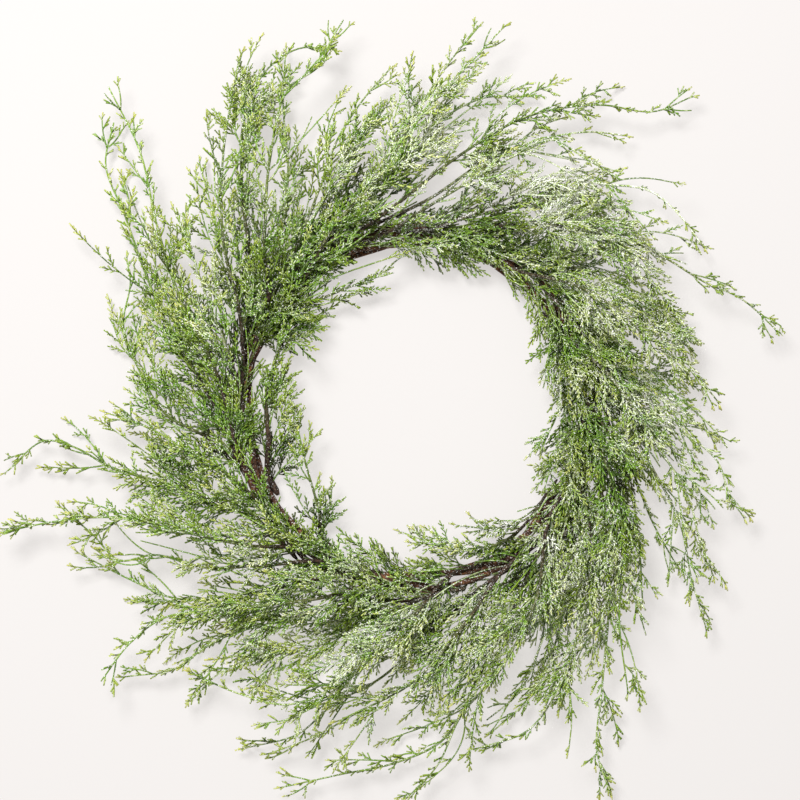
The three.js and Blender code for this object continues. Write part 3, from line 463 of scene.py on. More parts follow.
# Where the foliage is fuller or thinner than elsewhere: sheet x, y, spread and how much
patches = [
    (545, 232, 40, 0.7), (610, 240, 30, 0.3), (664, 288, 32, 1.4), (686, 372, 30, 1.4),
    (620, 330, 40, 0.4), (372, 120, 22, 1.4), (435, 80, 25, 0.9), (225, 100, 22, 0.9),
    (150, 494, 26, 1.2), (100, 522, 26, 0.9), (185, 575, 25, 0.6), (255, 645, 30, 0.8),
    (285, 670, 25, 1.0), (395, 705, 25, 1.0), (300, 335, 22, 1.4), (395, 550, 30, 1.2),
    (435, 690, 20, 0.9), (550, 465, 16, 0.9), (280, 410, 16, 0.6), (185, 370, 20, 0.7),
    (310, 160, 14, 0.6), (560, 450, 30, 0.5), (480, 600, 45, 0.3), (600, 690, 22, 0.6),
    (20, 530, 30, 1.6), (690, 540, 25, 0.5), (140, 350, 25, 0.5), (540, 700, 30, 0.5),
    (165, 405, 25, 0.3), (480, 260, 20, 0.6), (750, 298, 20, 0.6), (440, 190, 25, -1.2),
    (545, 155, 25, -0.7), (480, 120, 20, -0.6), (655, 220, 30, -0.8), (320, 480, 20, -0.7),
    (525, 512, 24, -0.9), (553, 390, 22, -0.8), (130, 540, 25, -0.8), (110, 680, 20, -0.5),
    (450, 738, 25, -0.6), (285, 400, 14, 0.9), (290, 470, 16, 0.9), (330, 602, 20, 0.6),
    (380, 625, 16, 0.8), (235, 120, 16, 0.6), (605, 745, 18, 0.6), (700, 470, 18, 0.5),
    (450, 550, 30, 0.5), (510, 590, 14, 0.6), (575, 560, 14, 0.6), (638, 640, 24, -1.0),
    (490, 40, 25, -0.6), (340, 35, 20, -0.5), (108, 98, 24, -0.8), (265, 190, 15, -0.6),
    (205, 240, 22, -0.7), (95, 250, 25, -0.3), (664, 460, 20, -0.4), (340, 660, 15, -0.4),
    (355, 275, 18, -0.5), (130, 452, 18, -0.4), (190, 195, 18, -0.7), (660, 555, 16, -0.6),
    (90, 510, 18, -0.7), (715, 500, 20, -0.1), (460, 660, 15, -0.5), (340, 775, 20, -0.4),
    (80, 430, 18, -0.3), (740, 440, 20, -0.4), (380, 262, 16, -0.9), (350, 545, 18, -0.9),
    (475, 525, 16, -0.6), (538, 455, 14, -0.9), (630, 175, 20, -0.8), (700, 268, 18, -0.8),
    (163, 212, 18, -0.7), (128, 200, 16, -0.5), (570, 728, 14, -0.8), (362, 732, 20, -0.6),
    (318, 155, 16, 1.0), (372, 142, 16, 0.8), (490, 95, 16, 1.0), (686, 315, 16, 1.2),
    (708, 560, 20, 0.8), (712, 480, 16, 0.5), (230, 520, 24, 0.5), (178, 380, 18, 0.8),
    (304, 171, 14, 0.9), (332, 186, 12, 0.8), (230, 118, 14, 1.0), (231, 205, 14, 0.9),
    (466, 159, 14, 1.0), (682, 355, 16, 0.8), (538, 322, 12, 0.8), (537, 344, 12, 0.7),
    (620, 530, 16, 0.6), (240, 580, 24, -0.5), (309, 122, 16, -0.8), (680, 500, 20, -0.4),
    (540, 690, 20, -0.4), (200, 400, 20, 0.4), (630, 355, 22, 0.5), (533, 648, 14, -0.7),
    (670, 430, 16, -0.3), (310, 678, 22, 1.3), (199, 472, 14, 0.8), (192, 514, 20, 1.2),
    (565, 642, 14, 0.8), (375, 629, 14, 0.7), (198, 239, 14, 0.9), (402, 600, 12, 0.6),
    (34, 526, 14, 0.8), (548, 409, 10, 0.6), (300, 122, 16, -0.5), (405, 560, 14, 1.2),
    (303, 176, 14, 0.8), (228, 119, 12, 0.6), (339, 662, 14, 0.8), (296, 197, 10, 0.5),
    (127, 460, 18, -0.7), (118, 508, 16, -0.5), (136, 530, 12, -0.5), (710, 400, 14, -0.5),
    (762, 321, 14, -0.5), (244, 67, 14, -0.5), (218, 182, 14, -0.5), (393, 702, 12, 0.6),
    (583, 584, 12, 0.5), (517, 129, 12, 0.6), (230, 139, 14, 1.2), (413, 551, 12, 1.0),
    (443, 249, 10, 0.8), (305, 177, 12, 1.0), (162, 496, 14, 0.8), (367, 633, 14, 0.6),
    (470, 266, 12, 0.8), (606, 560, 14, 0.6), (141, 424, 12, 0.8), (429, 156, 11, 0.9),
    (461, 160, 10, 0.6), (534, 310, 10, 0.9), (192, 261, 12, 0.9), (401, 262, 8, 0.6),
]
patchSpots = np.array([row[:2] for row in patches])
patchSpreads = np.array([size for _, _, size, _ in patches])
patchShares = np.array([share for _, _, _, share in patches])

# Gaps in the foliage where vines and bare stems show: sheet x, y and size
gaps = [
    (243, 345, 14), (247, 368, 14), (249, 392, 12), (263, 400, 9), (252, 455, 9), (257, 480, 12),
    (290, 516, 14), (250, 520, 9), (405, 592, 15), (430, 585, 18), (462, 580, 17), (492, 572, 18),
    (511, 588, 7), (480, 213, 8), (394, 222, 10), (370, 228, 8), (520, 276, 12), (545, 298, 14),
    (562, 318, 10), (597, 299, 9), (228, 264, 11), (268, 230, 9), (300, 262, 9), (312, 597, 12),
    (640, 440, 7), (169, 547, 15), (147, 553, 13), (190, 554, 12), (343, 269, 10), (329, 286, 9),
    (363, 254, 9), (321, 307, 11), (543, 505, 15), (443, 195, 16), (422, 200, 13), (393, 201, 14),
    (270, 205, 12), (371, 561, 11), (518, 158, 14), (85, 451, 12), (363, 699, 9), (335, 710, 10),
    (128, 283, 12), (156, 385, 9), (146, 469, 10), (553, 486, 11), (657, 457, 12), (434, 563, 7),
    (382, 676, 13), (172, 590, 11), (248, 680, 12), (336, 133, 10), (214, 652, 12), (497, 715, 11),
    (277, 152, 10), (378, 243, 9), (680, 544, 12), (454, 566, 9), (466, 711, 11), (317, 200, 6),
    (681, 253, 11), (502, 288, 12), (462, 121, 12), (665, 376, 10), (641, 489, 11), (222, 322, 10),
    (322, 286, 9), (431, 599, 9), (539, 642, 11), (301, 133, 12), (686, 274, 11), (590, 404, 9),
    (603, 424, 8), (563, 400, 7), (372, 232, 9), (352, 239, 8), (412, 232, 8), (428, 236, 7),
    (311, 597, 14), (262, 357, 9), (490, 119, 11), (372, 723, 11), (535, 357, 10), (603, 137, 11),
    (315, 209, 9), (280, 489, 9), (297, 698, 11), (454, 120, 11), (287, 388, 9), (295, 88, 11),
    (601, 266, 9), (347, 282, 9), (719, 508, 10), (305, 722, 10), (684, 107, 10), (413, 728, 10),
    (302, 556, 8), (519, 157, 10),
]
gapSpots = np.array([row[:2] for row in gaps])
gapSizes = np.array([size for _, _, size in gaps])


def seenAt(p):
    # the place on the sheet at which the camera sees a point
    scale = (layout["eye"] - layout["middle"]) / (layout["eye"] - p[2])
    x, y = p[0] / layout["unit"] + layout["x"], layout["y"] - p[1] / layout["unit"]
    half = layout["half"]
    return np.array([half + (x - half) * scale, half + (y - half) * scale])


def bulk(p):
    # how full the foliage is at a point, 1 as a rule
    away = np.square(patchSpots - seenAt(p)).sum(axis=1) / patchSpreads ** 2
    return held(1 + float(patchShares @ np.exp(-away)), *foliage["bulkRange"])


def covered(p):
    # near 0 in a gap and 1 away from all gaps
    away = np.square(gapSpots - seenAt(p)).sum(axis=1) / gapSizes ** 2
    return 1 - foliage["gapDepth"] * float(np.exp(-away ** 2).max())


def takenApart(body):
    # the corners and faces of a modelled body, which is then removed
    points = np.array([v.co for v in body.data.vertices])
    faces = np.array([list(f.vertices) for f in body.data.polygons])
    mesh = body.data
    bpy.data.objects.remove(body)
    bpy.data.meshes.remove(mesh)
    return points, faces


def modelled(sides, rootShare, tipRise):
    # closed tapered body along Z, one unit long and one unit in radius, ending in a point
    bpy.ops.object.select_all(action="DESELECT")
    bpy.ops.mesh.primitive_cone_add(
        vertices=sides, radius1=rootShare, radius2=1, depth=1 - tipRise, location=(0, 0, (1 - tipRise) / 2)
    )
    body = bpy.context.object
    bpy.ops.object.transform_apply(location=True, rotation=True, scale=True)
    for face in body.data.polygons:
        face.select = face.normal.z > 0.9
    bpy.ops.object.mode_set(mode="EDIT")
    bpy.ops.mesh.select_mode(type="FACE")
    bpy.ops.mesh.extrude_region_move(TRANSFORM_OT_translate={"value": (0, 0, tipRise)})
    bpy.ops.mesh.merge(type="COLLAPSE")
    bpy.ops.mesh.select_all(action="SELECT")
    bpy.ops.mesh.quads_convert_to_tris()
    bpy.ops.mesh.normals_make_consistent(inside=False)
    bpy.ops.object.mode_set(mode="OBJECT")
    return takenApart(body)


def modelledFlake():
    bpy.ops.object.select_all(action="DESELECT")
    bpy.ops.mesh.primitive_cone_add(vertices=3, radius1=1, radius2=0, depth=0.7)
    return takenApart(bpy.context.object)


shootBody = modelled(3, 0.86, 0.22)
axisBody = modelled(3, 1.0, 0.1)


class Heap:
    # triangles gathered from many copies, with a row of values for each corner point
    names = ("tipShare", "along", "tint", "bark", "frost", "flake")

    def __init__(self):
        self.points, self.faces, self.values, self.count = [], [], [], 0

    def add(self, points, faces, values):
        self.points.append(points)
        self.faces.append(faces + self.count)
        self.values.append(values)
        self.count += len(points)

    def joined(self):
        return np.concatenate(self.points), np.concatenate(self.faces), np.concatenate(self.values)


def valueRows(points, **columns):
    # a row of values for each point, zero where none is given
    values = np.zeros((len(points), len(Heap.names)))
    for name, column in columns.items():
        values[:, Heap.names.index(name)] = column
    return values


def laidAlong(body, start, way, length, radius):
    points, faces = body
    way = unit(way)
    side = unit(np.cross(triple(0, 0, 1) if abs(way[2]) < 0.9 else triple(1, 0, 0), way))
    over = np.cross(way, side)
    placed = start + points[:, :1] * side * radius + points[:, 1:2] * over * radius
    return placed + points[:, 2:] * way * length, faces


# A sprig's shoots: where they start, how much shorter they get, and how they lean in degrees
sprigForm = {
    "bend": 0.5, "tail": 3.4, "longAxis": 13, "firstShoot": 1.6, "wander": 1.4, "shorter": 0.32,
    "lean": 33, "leanLess": 9, "leanSwing": 12, "tilt": 40, "changeSide": 0.86,
    "forkGrow": 1.35, "forkAt": 0.42, "forkSize": 0.52, "unforked": 3,
}


def sprigKind(seed, count, pitch, thick, forked=False):
    # a flat forked sprig lying along X with its shoots left and right along Y
    form = sprigForm
    draw = Draws(seed)
    heap = Heap()
    length = pitch * (count - 1) + form["tail"]
    bend = draw.swing(form["bend"])

    def onAxis(t):
        return triple(t, bend * t * t / length * 0.5, 0), unit(triple(1, bend * t / length, 0))

    def addShoot(start, way, size, share):
        radius = thick * foliage["shootRadius"] * (0.9 + 0.2 * draw())
        points, faces = laidAlong(shootBody, start, way, size, radius)
        up = shootBody[0][:, 2]
        heap.add(points, faces, valueRows(points, tipShare=0.25 + 0.45 * share + 0.3 * up, along=up * size))

    parts = 2 if length > form["longAxis"] else 1
    for part in range(parts):
        first, second = length * part / parts, length * (part + 1) / parts
        start, end = onAxis(first)[0], onAxis(second)[0]
        if part:
            start = start + (start - end) * 0.06
        radius = foliage["axisRadius"] * (1.15 - 0.2 * part)
        points, faces = laidAlong(axisBody, start, end - start, np.linalg.norm(end - start), radius)
        along = axisBody[0][:, 2] * (second - first)
        heap.add(points, faces, valueRows(points, tipShare=0.2 + 0.3 * first / length, along=along))
    side = draw.side()
    for i in range(count):
        t = form["firstShoot"] + pitch * i + draw.swing(form["wander"])
        share = t / length
        at, way = onAxis(min(t, length * 0.97))
        size = foliage["shootLength"] * (1 - form["shorter"] * share) * (0.72 + 0.5 * draw())
        angle = (form["lean"] - form["leanLess"] * share + draw.swing(form["leanSwing"])) * deg
        tilt = draw.swing(form["tilt"]) * deg
        across = triple(-way[1], way[0], 0) * side * math.cos(tilt) + triple(0, 0, math.sin(tilt))
        lean = way * math.cos(angle) + across * math.sin(angle)
        if forked and i < count - form["unforked"]:
            size *= form["forkGrow"]
            away = way * math.cos(angle * 0.1) - across * math.sin(angle * 0.1)
            addShoot(at + lean * size * form["forkAt"], away, size * form["forkSize"], share)
        addShoot(at, lean, size, share)
        side = -side if draw() < form["changeSide"] else side
    at, way = onAxis(length * 0.93)
    way = way + triple(0, draw.swing(0.2), draw.swing(0.2))
    addShoot(at, way, 6 + 1.8 * draw(), 1.0)
    points, faces, values = heap.joined()
    return {"points": points, "faces": faces, "values": values, "reach": points[:, 0].max()}


kinds = []
groups = {}
for group, made in (
    ("tiny", [sprigKind(50 + i, 2, 2.2, 1.04) for i in range(3)]),
    ("small", [sprigKind(100 + i, 2 + i % 3, 2.5, 1.0) for i in range(6)]),
    ("middle", [sprigKind(200 + i, 5 + i % 2, 2.8, 0.94) for i in range(6)]),
    ("large", [sprigKind(300 + i, 8 + i % 2, 2.9, 0.9, True) for i in range(4)]),
):
    groups[group] = range(len(kinds), len(kinds) + len(made))
    kinds += made
print("sprig kinds", [len(k["faces"]) for k in kinds])

cadLow, cadHigh = (np.array(corner) / mm - shift for corner in cadBounds)
opening = frame["record"]["physics"]["openings"][0]["box_m"]
holeLow, holeHigh = (np.array(corner) / mm - shift for corner in opening)


def inHole(p, margin=foliage["margin"]):
    return bool(np.all(p > holeLow - margin) and np.all(p < holeHigh + margin))


def inBox(p, margin=foliage["margin"]):
    beside = np.all(p[:2] > cadLow[:2] + margin) and np.all(p[:2] < cadHigh[:2] - margin)
    return bool(beside and p[2] < cadHigh[2] - margin)


# Frost is heaviest from the top round the right to the lower right, and on the middle of the sprays
frostWay = {
    "clock": 72, "reach": 175, "width": 85, "base": 0.3, "turn": 0.22, "even": 0.35, "band": 0.1,
    "shade": 0.8,
}
# Places that are nearly white: sheet x, y, spread and how much
whiteSpots = [
    (555, 183, 34, 0.7), (545, 537, 12, 0.8), (604, 540, 14, 0.3), (655, 405, 24, 0.3),
    (445, 165, 22, 0.4), (470, 590, 20, 0.4), (355, 575, 22, 0.3), (215, 330, 18, 0.25),
    (505, 215, 22, 0.4), (380, 640, 60, 0.2), (440, 115, 60, 0.2), (600, 610, 50, 0.05),
    (640, 250, 20, 0.3), (560, 640, 24, 0.3), (255, 565, 18, 0.3), (280, 190, 16, 0.25),
    (330, 640, 26, 0.35), (570, 560, 24, 0.3), (257, 103, 14, 0.4), (423, 131, 14, 0.4),
    (268, 645, 14, 0.4), (430, 600, 14, 0.4), (345, 169, 12, 0.4), (480, 620, 26, 0.15),
    (620, 360, 20, 0.3), (293, 700, 14, 0.3),
]
# Places painted dark for stems and painted shadow under the foliage: sheet x, y, spread and how much
stemAndShadowSpots = [
    (264, 357, 14, 1.5), (522, 566, 16, 2.0), (615, 474, 17, 2.0), (590, 428, 14, 0.9),
    (627, 347, 15, 0.5), (604, 350, 13, 0.6), (623, 368, 13, 0.4), (498, 220, 15, 1.2),
    (354, 602, 13, 1.3), (268, 445, 16, 0.9), (620, 525, 15, 0.8), (265, 265, 20, 0.7),
    (240, 345, 16, 1.3), (353, 230, 15, 1.1), (570, 341, 12, 0.8), (593, 558, 13, 0.5),
    (545, 298, 13, 0.8), (540, 335, 12, 0.6), (184, 380, 14, 0.5), (568, 637, 10, 0.7),
    (406, 559, 12, 0.8), (306, 171, 14, 1.1), (209, 521, 14, 0.9), (298, 192, 11, 0.7),
    (526, 491, 10, 0.8), (203, 470, 12, 0.7), (398, 220, 12, 0.9), (476, 220, 12, 0.8),
    (322, 681, 14, 0.7), (483, 148, 12, 0.7), (233, 175, 12, 0.6), (270, 482, 14, 0.9),
    (389, 706, 10, 0.6), (149, 302, 10, 0.5),
]


def felt(p, spots):
    # how much of a list of round spots reaches a point
    x, y = seenAt(p)
    return sum(much * math.exp(-((x - sx) ** 2 + (y - sy) ** 2) / size ** 2) for sx, sy, size, much in spots)


def stemAndShadowAt(p):
    return felt(p, stemAndShadowSpots)


def frostAt(p):
    way = frostWay
    turn = 0.5 + 0.5 * math.cos(math.atan2(p[0], p[1]) - way["clock"] * deg)
    band = math.exp(-((math.hypot(p[0], p[1]) - way["reach"]) / way["width"]) ** 2)
    amount = way["base"] + way["turn"] * turn * (way["even"] + (1 - way["even"]) * band) + way["band"] * band
    # less frost where the foliage is painted dark for stems and shadow
    return (amount + felt(p, whiteSpots)) * (1 - way["shade"] * min(stemAndShadowAt(p), 1))


def tube(heap, limb, sides, pitch, share, bark, tint, nose=1.0):
    # a round limb with closed ends, its first ring drawn in to a nose where that is given
    count = max(2, math.ceil(limb.length / pitch) + 1)
    marks = np.linspace(0, limb.length, count)
    at, _, side, over = limb.at(marks)
    radius = limb.radius(marks) * share
    radius[0] *= nose
    turn = 2 * math.pi * np.arange(sides) / sides
    spokes = side[:, None] * np.cos(turn)[:, None] + over[:, None] * np.sin(turn)[:, None]
    points = (at[:, None] + spokes * radius[:, None, None]).reshape(-1, 3)
    faces = []
    for i in range(count - 1):
        for k in range(sides):
            a, b = i * sides + k, i * sides + (k + 1) % sides
            faces += [(a, b, b + sides), (a, b + sides, a + sides)]
    last = (count - 1) * sides
    for k in range(1, sides - 1):
        faces += [(0, k + 1, k), (last, last + k, last + k + 1)]
    along = np.repeat(marks, sides)
    values = valueRows(
        points, tipShare=0.1 + 0.25 * along / limb.length, along=along, tint=tint * 0.4, bark=bark(along),
        frost=frostAt(at[count // 2]),
    )
    heap.add(points, np.array(faces), values)


def upright(heading):
    up = triple(0, 0, 1) - heading * heading[2]
    size = np.linalg.norm(up)
    return up / size if size > 0.15 else unit(np.cross(heading, triple(0, 1, 0)))


def leaning(heading, roll, angle):
    up = upright(heading)
    across = np.cross(heading, up)
    away = up * math.cos(roll) + across * math.sin(roll)
    return heading * math.cos(angle) + away * math.sin(angle)


flakes = {
    "perSpray": 1050, "radius": (0.42, 0.95), "most": 0.8, "share": 1.2, "offset": 0.9,
    "body": modelledFlake(),
}


def addFlakes(heap, draw):
    # loose grains of frost that stick to the foliage, more of them where the frost is heavy
    corners = np.concatenate(heap.points)
    points, faces = flakes["body"]
    low, high = flakes["radius"]
    for _ in range(flakes["perSpray"]):
        # the higher of two places, as frost settles on what faces up
        at = max((corners[int(draw() * len(corners))] for _ in range(2)), key=lambda p: p[2])
        if draw() >= min(frostAt(at), flakes["most"]) * flakes["share"]:
            continue
        size = low + (high - low) * draw() ** 1.4
        tall = 0.6 + 0.6 * draw()
        offset = triple(draw() - 0.5, draw() - 0.5, draw()) * flakes["offset"]
        x, y, z = (points * triple(size, size * (0.6 + 0.4 * draw()), size * tall)).T
        turn = draw() * math.pi
        across, along = math.cos(turn), math.sin(turn)
        placed = np.stack([x * across - y * along, x * along + y * across, z], axis=1)
        heap.add(placed + (at + offset), faces, valueRows(points, flake=1))


# Single twigs given one by one, most of them over the hole: the stem, how far along it, where the twig ends
extras = {
    1: [(70, (178, 372, 26)), (90, (172, 350, 24))],
    6: [(6, (300, 352, 40)), (24, (296, 322, 52))],
    8: [(4, (308, 336, 26)), (16, (318, 318, 30))],
    9: [(6, (322, 312, 30)), (14, (336, 306, 26)), (95, (366, 128, 46)), (115, (385, 112, 42))],
    11: [(20, (392, 262, 44))],
    7: [(95, (306, 168, 56))],
    12: [(158, (500, 84, 20))],
    18: [(150, (684, 330, 30)), (180, (690, 358, 28))],
    20: [(6, (538, 322, 30)), (24, (545, 345, 28))],
    21: [(4, (537, 340, 36))],
    25: [(12, (540, 490, 40))],
    28: [(4, (545, 462, 40))],
    51: [(60, (286, 372, 40)), (36, (289, 400, 36)), (22, (290, 434, 34)), (12, (298, 462, 30)),
         (80, (280, 344, 42))],
}

# Painted shade: what lies low and near the ring is darker, most on the left
paintedShadeWay = {
    "height": 42, "reach": 160, "width": 45, "even": 0.82, "side": 0.28, "clock": 285, "most": 1.8,
    "frost": 0.6, "tint": 0.65, "tip": 0.3,
}


def buildSpray(index, stem, branches, inner):
    draw = Draws(foliage["seed"] + index)
    heap = Heap()
    tint = draw()
    placed = [[] for _ in kinds]
    thick = index == thickStem["index"]

    def stemBark(marks):
        end = foliage["barkEnd"] * stem.length * (thickStem["bark"] if thick else 1)
        return np.clip(1.3 - 1.3 * marks / end, 0, 1)

    def fading(limb, near, fall):
        # bark on a branch or twig, from what the stem has there to none
        return lambda marks: np.clip(near - fall * marks / limb.length, 0, 1)

    def paintedShadeAt(at):
        way = paintedShadeWay
        low = held(1.3 - at[2] / way["height"], 0, 1)
        low *= held(1.6 - abs(math.hypot(at[0], at[1]) - way["reach"]) / way["width"], 0, 1)
        low *= way["even"] + way["side"] * math.cos(math.atan2(at[0], at[1]) - way["clock"] * deg)
        return min(max(low, stemAndShadowAt(at)), way["most"])

    def addSprig(group, at, way, roll, size, tipShare):
        choice = groups[group]
        kind = choice[int(draw() * len(choice))]
        reach = kinds[kind]["reach"]
        tip = at + way * reach * size
        while size > 0.35 and (not inBox(tip) or inHole(tip)):
            size *= 0.8
            tip = at + way * reach * size
        if not inBox(tip) or inHole(tip):
            return
        if draw() > bulk(at) * covered(at) or draw() > covered(tip):
            return
        if at[2] + way[2] * reach * size < foliage["floor"] + 1:
            drop = (foliage["floor"] + 1 - at[2]) / (reach * size)
            way = unit(triple(way[0], way[1], max(way[2], drop * 0.7)))
        up = upright(way)
        normal = up * math.cos(roll) + np.cross(up, way) * math.sin(roll)
        # painted shade: low foliage near the ring and under the dark spots gets a darker tint, less frost and
        # darker tips
        low = paintedShadeAt(at)
        frost = frostAt(at) * (0.4 + 1.2 * draw()) * (1 - paintedShadeWay["frost"] * low)
        shade = draw() - paintedShadeWay["tint"] * low
        row = (at, way, np.cross(normal, way), normal, size, frost, shade, tipShare - paintedShadeWay["tip"] * low)
        placed[kind].append(row)

    def fullness(t):
        # foliage is thick from the ring out to the middle of a stem and thin towards its tip
        full = 1 - 0.86 * held((t / stem.length - 0.38) / 0.42, 0, 1)
        return min(full * max(bulk(stem.spot(t)[0]), 1), 1)

    def dress(limb, first, full, tipShare):
        # sprigs left and right along a limb, smaller towards its tip, some turned towards the front
        t = first
        side = draw.side()
        while t < limb.length - 1.5:
            at, heading, _, _ = limb.spot(t)
            roll = side * (90 + draw.swing(100)) * deg
            angle = (29 + draw.swing(16)) * deg
            share = t / limb.length
            big = full * (1.25 - share) * (0.6 + 0.8 * draw()) * bulk(at) ** 0.5
            group = "large" if big > 0.95 and limb.length > 30 else "middle" if big > 0.45 else "small"
            way = leaning(heading, roll, angle)
            addSprig(group, at, way, draw.swing(100) * deg, 0.85 + 0.3 * draw(), tipShare + 0.3 * share)
            side = -side
            t += foliage["sprigPitch"] / (0.6 + 0.4 * full) / bulk(at) ** 0.8 * (0.7 + 0.6 * draw())
        at, heading, _, _ = limb.spot(limb.length - 0.5)
        group = "middle" if full > 0.6 else "small" if full > 0.3 else "tiny"
        addSprig(group, at, heading, draw.swing(60) * deg, 0.8 + 0.3 * draw(), tipShare + 0.45)

    def addTwig(at, start, end, length, near, full, tipShare):
        knee = at + start * 0.45 * length
        tip = knee + end * 0.55 * length
        if tip[2] < 4:
            tip = tip + triple(0, 0, 4 - tip[2])
            knee = knee + triple(0, 0, max(0, 3 - knee[2]))
        if not inBox(tip, 4) or inHole(tip, 3) or draw() > 0.3 + 0.7 * covered(knee):
            return
        line = [at, (at + knee) / 2 + (knee - at) * 0.03, knee * 0.7 + (at + tip) * 0.15, tip]
        limb = Limb(line, upright(start), 0.95, 0.65, 1)
        tube(heap, limb, 4, 7, 0.9, fading(limb, near, 2.2), 0.4 + draw())
        dress(limb, max(3.5, length * 0.3 * draw()), full, tipShare)

    share = foliage["stemShare"] * (thickStem["share"] if thick else 1)
    tube(heap, stem, 7, 4.5, share, stemBark, tint, foliage["nose"])
    for station, limb in branches:
        near = float(stemBark(station))
        tube(heap, limb, 5, 5.5, 0.82, fading(limb, near, 1.5), draw())
        dress(limb, 5, fullness(station), 0.25 * station / stem.length)

    # twigs between the branches, shorter and further apart towards the tip, more of them on the side
    # that the wreath turns to, and thicker in some places than in others
    t = thickStem["firstTwig"] if thick else 6
    side = draw.side()
    wave = draw() * 2 * math.pi
    while t < stem.length - 16:
        at, heading, _, _ = stem.spot(t)
        share = t / stem.length
        full = fullness(t)
        clump = 0.8 + 0.4 * math.sin(t / 17 + wave)
        length = foliage["twigLong"] * (1 - share) + foliage["twigShort"] * share
        length = length * (0.7 + 0.6 * draw()) * clump
        length *= (1.12 if side > 0 else 0.85) * (0.5 + 0.5 * full) * (0.75 if inner else 1) * bulk(at) ** 0.5
        turn = 150 if draw() < 0.3 else 90
        roll = side * (90 + draw.swing(turn)) * deg
        angle = (foliage["twigAngle"] + 4 * side + draw.swing(14)) * deg
        start = leaning(heading, roll, angle)
        end = leaning(stem.spot(min(t + 0.8 * length, stem.length))[1], roll, angle * (0.1 + 0.6 * draw()))
        if length > 7:
            addTwig(at, start, end, length, float(stemBark(t)), full, 0.25 * share)
        side = -1 if side > 0 and draw() < 0.85 else 1
        t += foliage["twigPitch"] / (0.4 + 0.6 * full) / (clump * bulk(at)) ** 0.5 * (0.7 + 0.6 * draw())

    # fringe over the ring and its inner edge
    for i in range(0 if inner else foliage["fringe"]):
        at, heading, _, _ = stem.spot(2 + 26 * (i + draw()) / foliage["fringe"])
        away = unit(triple(-at[0], -at[1], 0))
        turn = (12 + 42 * draw()) * deg
        rise = (draw() - 0.35) * 0.8
        start = unit(heading * math.cos(turn) + away * math.sin(turn) + triple(0, 0, rise))
        turn *= 0.6
        end = unit(heading * math.cos(turn) + away * math.sin(turn) + triple(0, 0, draw.swing(0.5)))
        low, high = foliage["fringeLength"]
        addTwig(at, start, end, (low + (high - low) * draw()) * bulk(at + start * 20), 0.7, 1, 0.05)

    for t, goal in extras.get(index, []):
        at, heading, _, _ = stem.spot(t)
        way = onSheet(*goal) - at
        length = np.linalg.norm(way)
        start = unit(unit(way) + heading * 0.35)
        addTwig(at, start, unit(way * 1.2 / length - start * 0.2), length, 0.5, 1, 0.1)

    # short sprigs straight on the stem, hiding it more and more towards the tip
    t = thickStem["firstSprig"] if thick else 20
    while t < stem.length - 3:
        at, heading, _, _ = stem.spot(t)
        share = t / stem.length
        if draw() < 0.45 + 0.8 * share:
            way = leaning(heading, 360 * draw() * deg, (36 + draw.swing(14)) * deg)
            group = "tiny" if share > 0.78 and bulk(at) < 1.3 else "small"
            addSprig(group, at, way, draw.swing(120) * deg, 0.85 + 0.3 * draw(), 0.4 * share)
        t += foliage["stemSprigPitch"] * (0.6 + 0.7 * draw()) * (1.5 if share > 0.85 else 1)
    at, heading, _, _ = stem.spot(stem.length - 0.5)
    addSprig("tiny", at, heading, 0.0, 1.0, 0.75)

    for kind, rows in zip(kinds, placed):
        if not rows:
            continue
        at, way, across, normal, size, frost, shade, tipShare = (np.array(column) for column in zip(*rows))
        axes = np.stack([way, across, normal], axis=1)
        points = kind["points"]
        spread = np.einsum("nk,mkj->mnj", points, axes) * size[:, None, None] + at[:, None]
        values = np.tile(kind["values"], (len(rows), 1, 1))
        values[:, :, 0] += tipShare[:, None]
        values[:, :, 1] *= size[:, None]
        values[:, :, 2] = shade[:, None] * 0.75 + tint * 0.25
        values[:, :, 4] = frost[:, None]
        step = (np.arange(len(rows)) * len(points))[:, None, None]
        heap.add(spread.reshape(-1, 3), (kind["faces"][None] + step).reshape(-1, 3), values.reshape(-1, 6))
    addFlakes(heap, draw)
    points, faces, values = heap.joined()
    # nothing under the back plane: what would dip there lies flat just over it
    low, soft = foliage["floor"], foliage["softFloor"]
    z = points[:, 2]
    flat = low + soft * np.exp((np.minimum(z, low + soft) - low - soft) / soft)
    points[:, 2] = np.where(z < low + soft, flat, z)
    return np.clip(points, cadLow + 0.05, cadHigh - 0.05), faces, values


def meshObject(name, points, faces, values=None):
    mesh = bpy.data.meshes.new(name)
    mesh.vertices.add(len(points))
    mesh.vertices.foreach_set("co", ((points + shift) * mm).astype(np.float32).ravel())
    mesh.loops.add(faces.size)
    mesh.loops.foreach_set("vertex_index", faces.astype(np.int32).ravel())
    mesh.polygons.add(len(faces))
    mesh.polygons.foreach_set("loop_start", np.arange(0, faces.size, 3, dtype=np.int32))
    mesh.update(calc_edges=True)
    mesh.validate()
    if values is not None:
        for i, each in enumerate(Heap.names):
            layer = mesh.attributes.new(each, "FLOAT", "POINT")
            layer.data.foreach_set("value", values[:, i].astype(np.float32))
    mesh.shade_smooth()
    body = bpy.data.objects.new(name, mesh)
    bpy.context.collection.objects.link(body)
    return body


sprayBodies = []
for index, (stem, branches, inner) in enumerate(sprays):
    points, faces, values = buildSpray(index, stem, branches, inner)
    sprayBodies.append(meshObject(f"foliage_{index + 1:02d}", points, faces, values))
counts = [len(body.data.polygons) for body in sprayBodies]
print("foliage triangles", sum(counts), "most", max(counts))


# Vines and binding wire
vineLook = {
    "steps": 240, "sides": 12, "share": 0.93, "rough": 0.12, "waves": 14, "seed": 500,
    "dark": (0.035, 0.018, 0.013, 1), "mid": (0.085, 0.040, 0.025, 1), "light": (0.235, 0.100, 0.034, 1),
    "frost": (0.800, 0.800, 0.770, 1),
    "midRange": (0.35, 0.55), "lightRange": (0.77, 0.97), "frostRange": (0.61, 0.67),
    "specular": 0.15, "roughness": 0.8, "bump": 0.7, "bumpDepth": 0.0006,
}


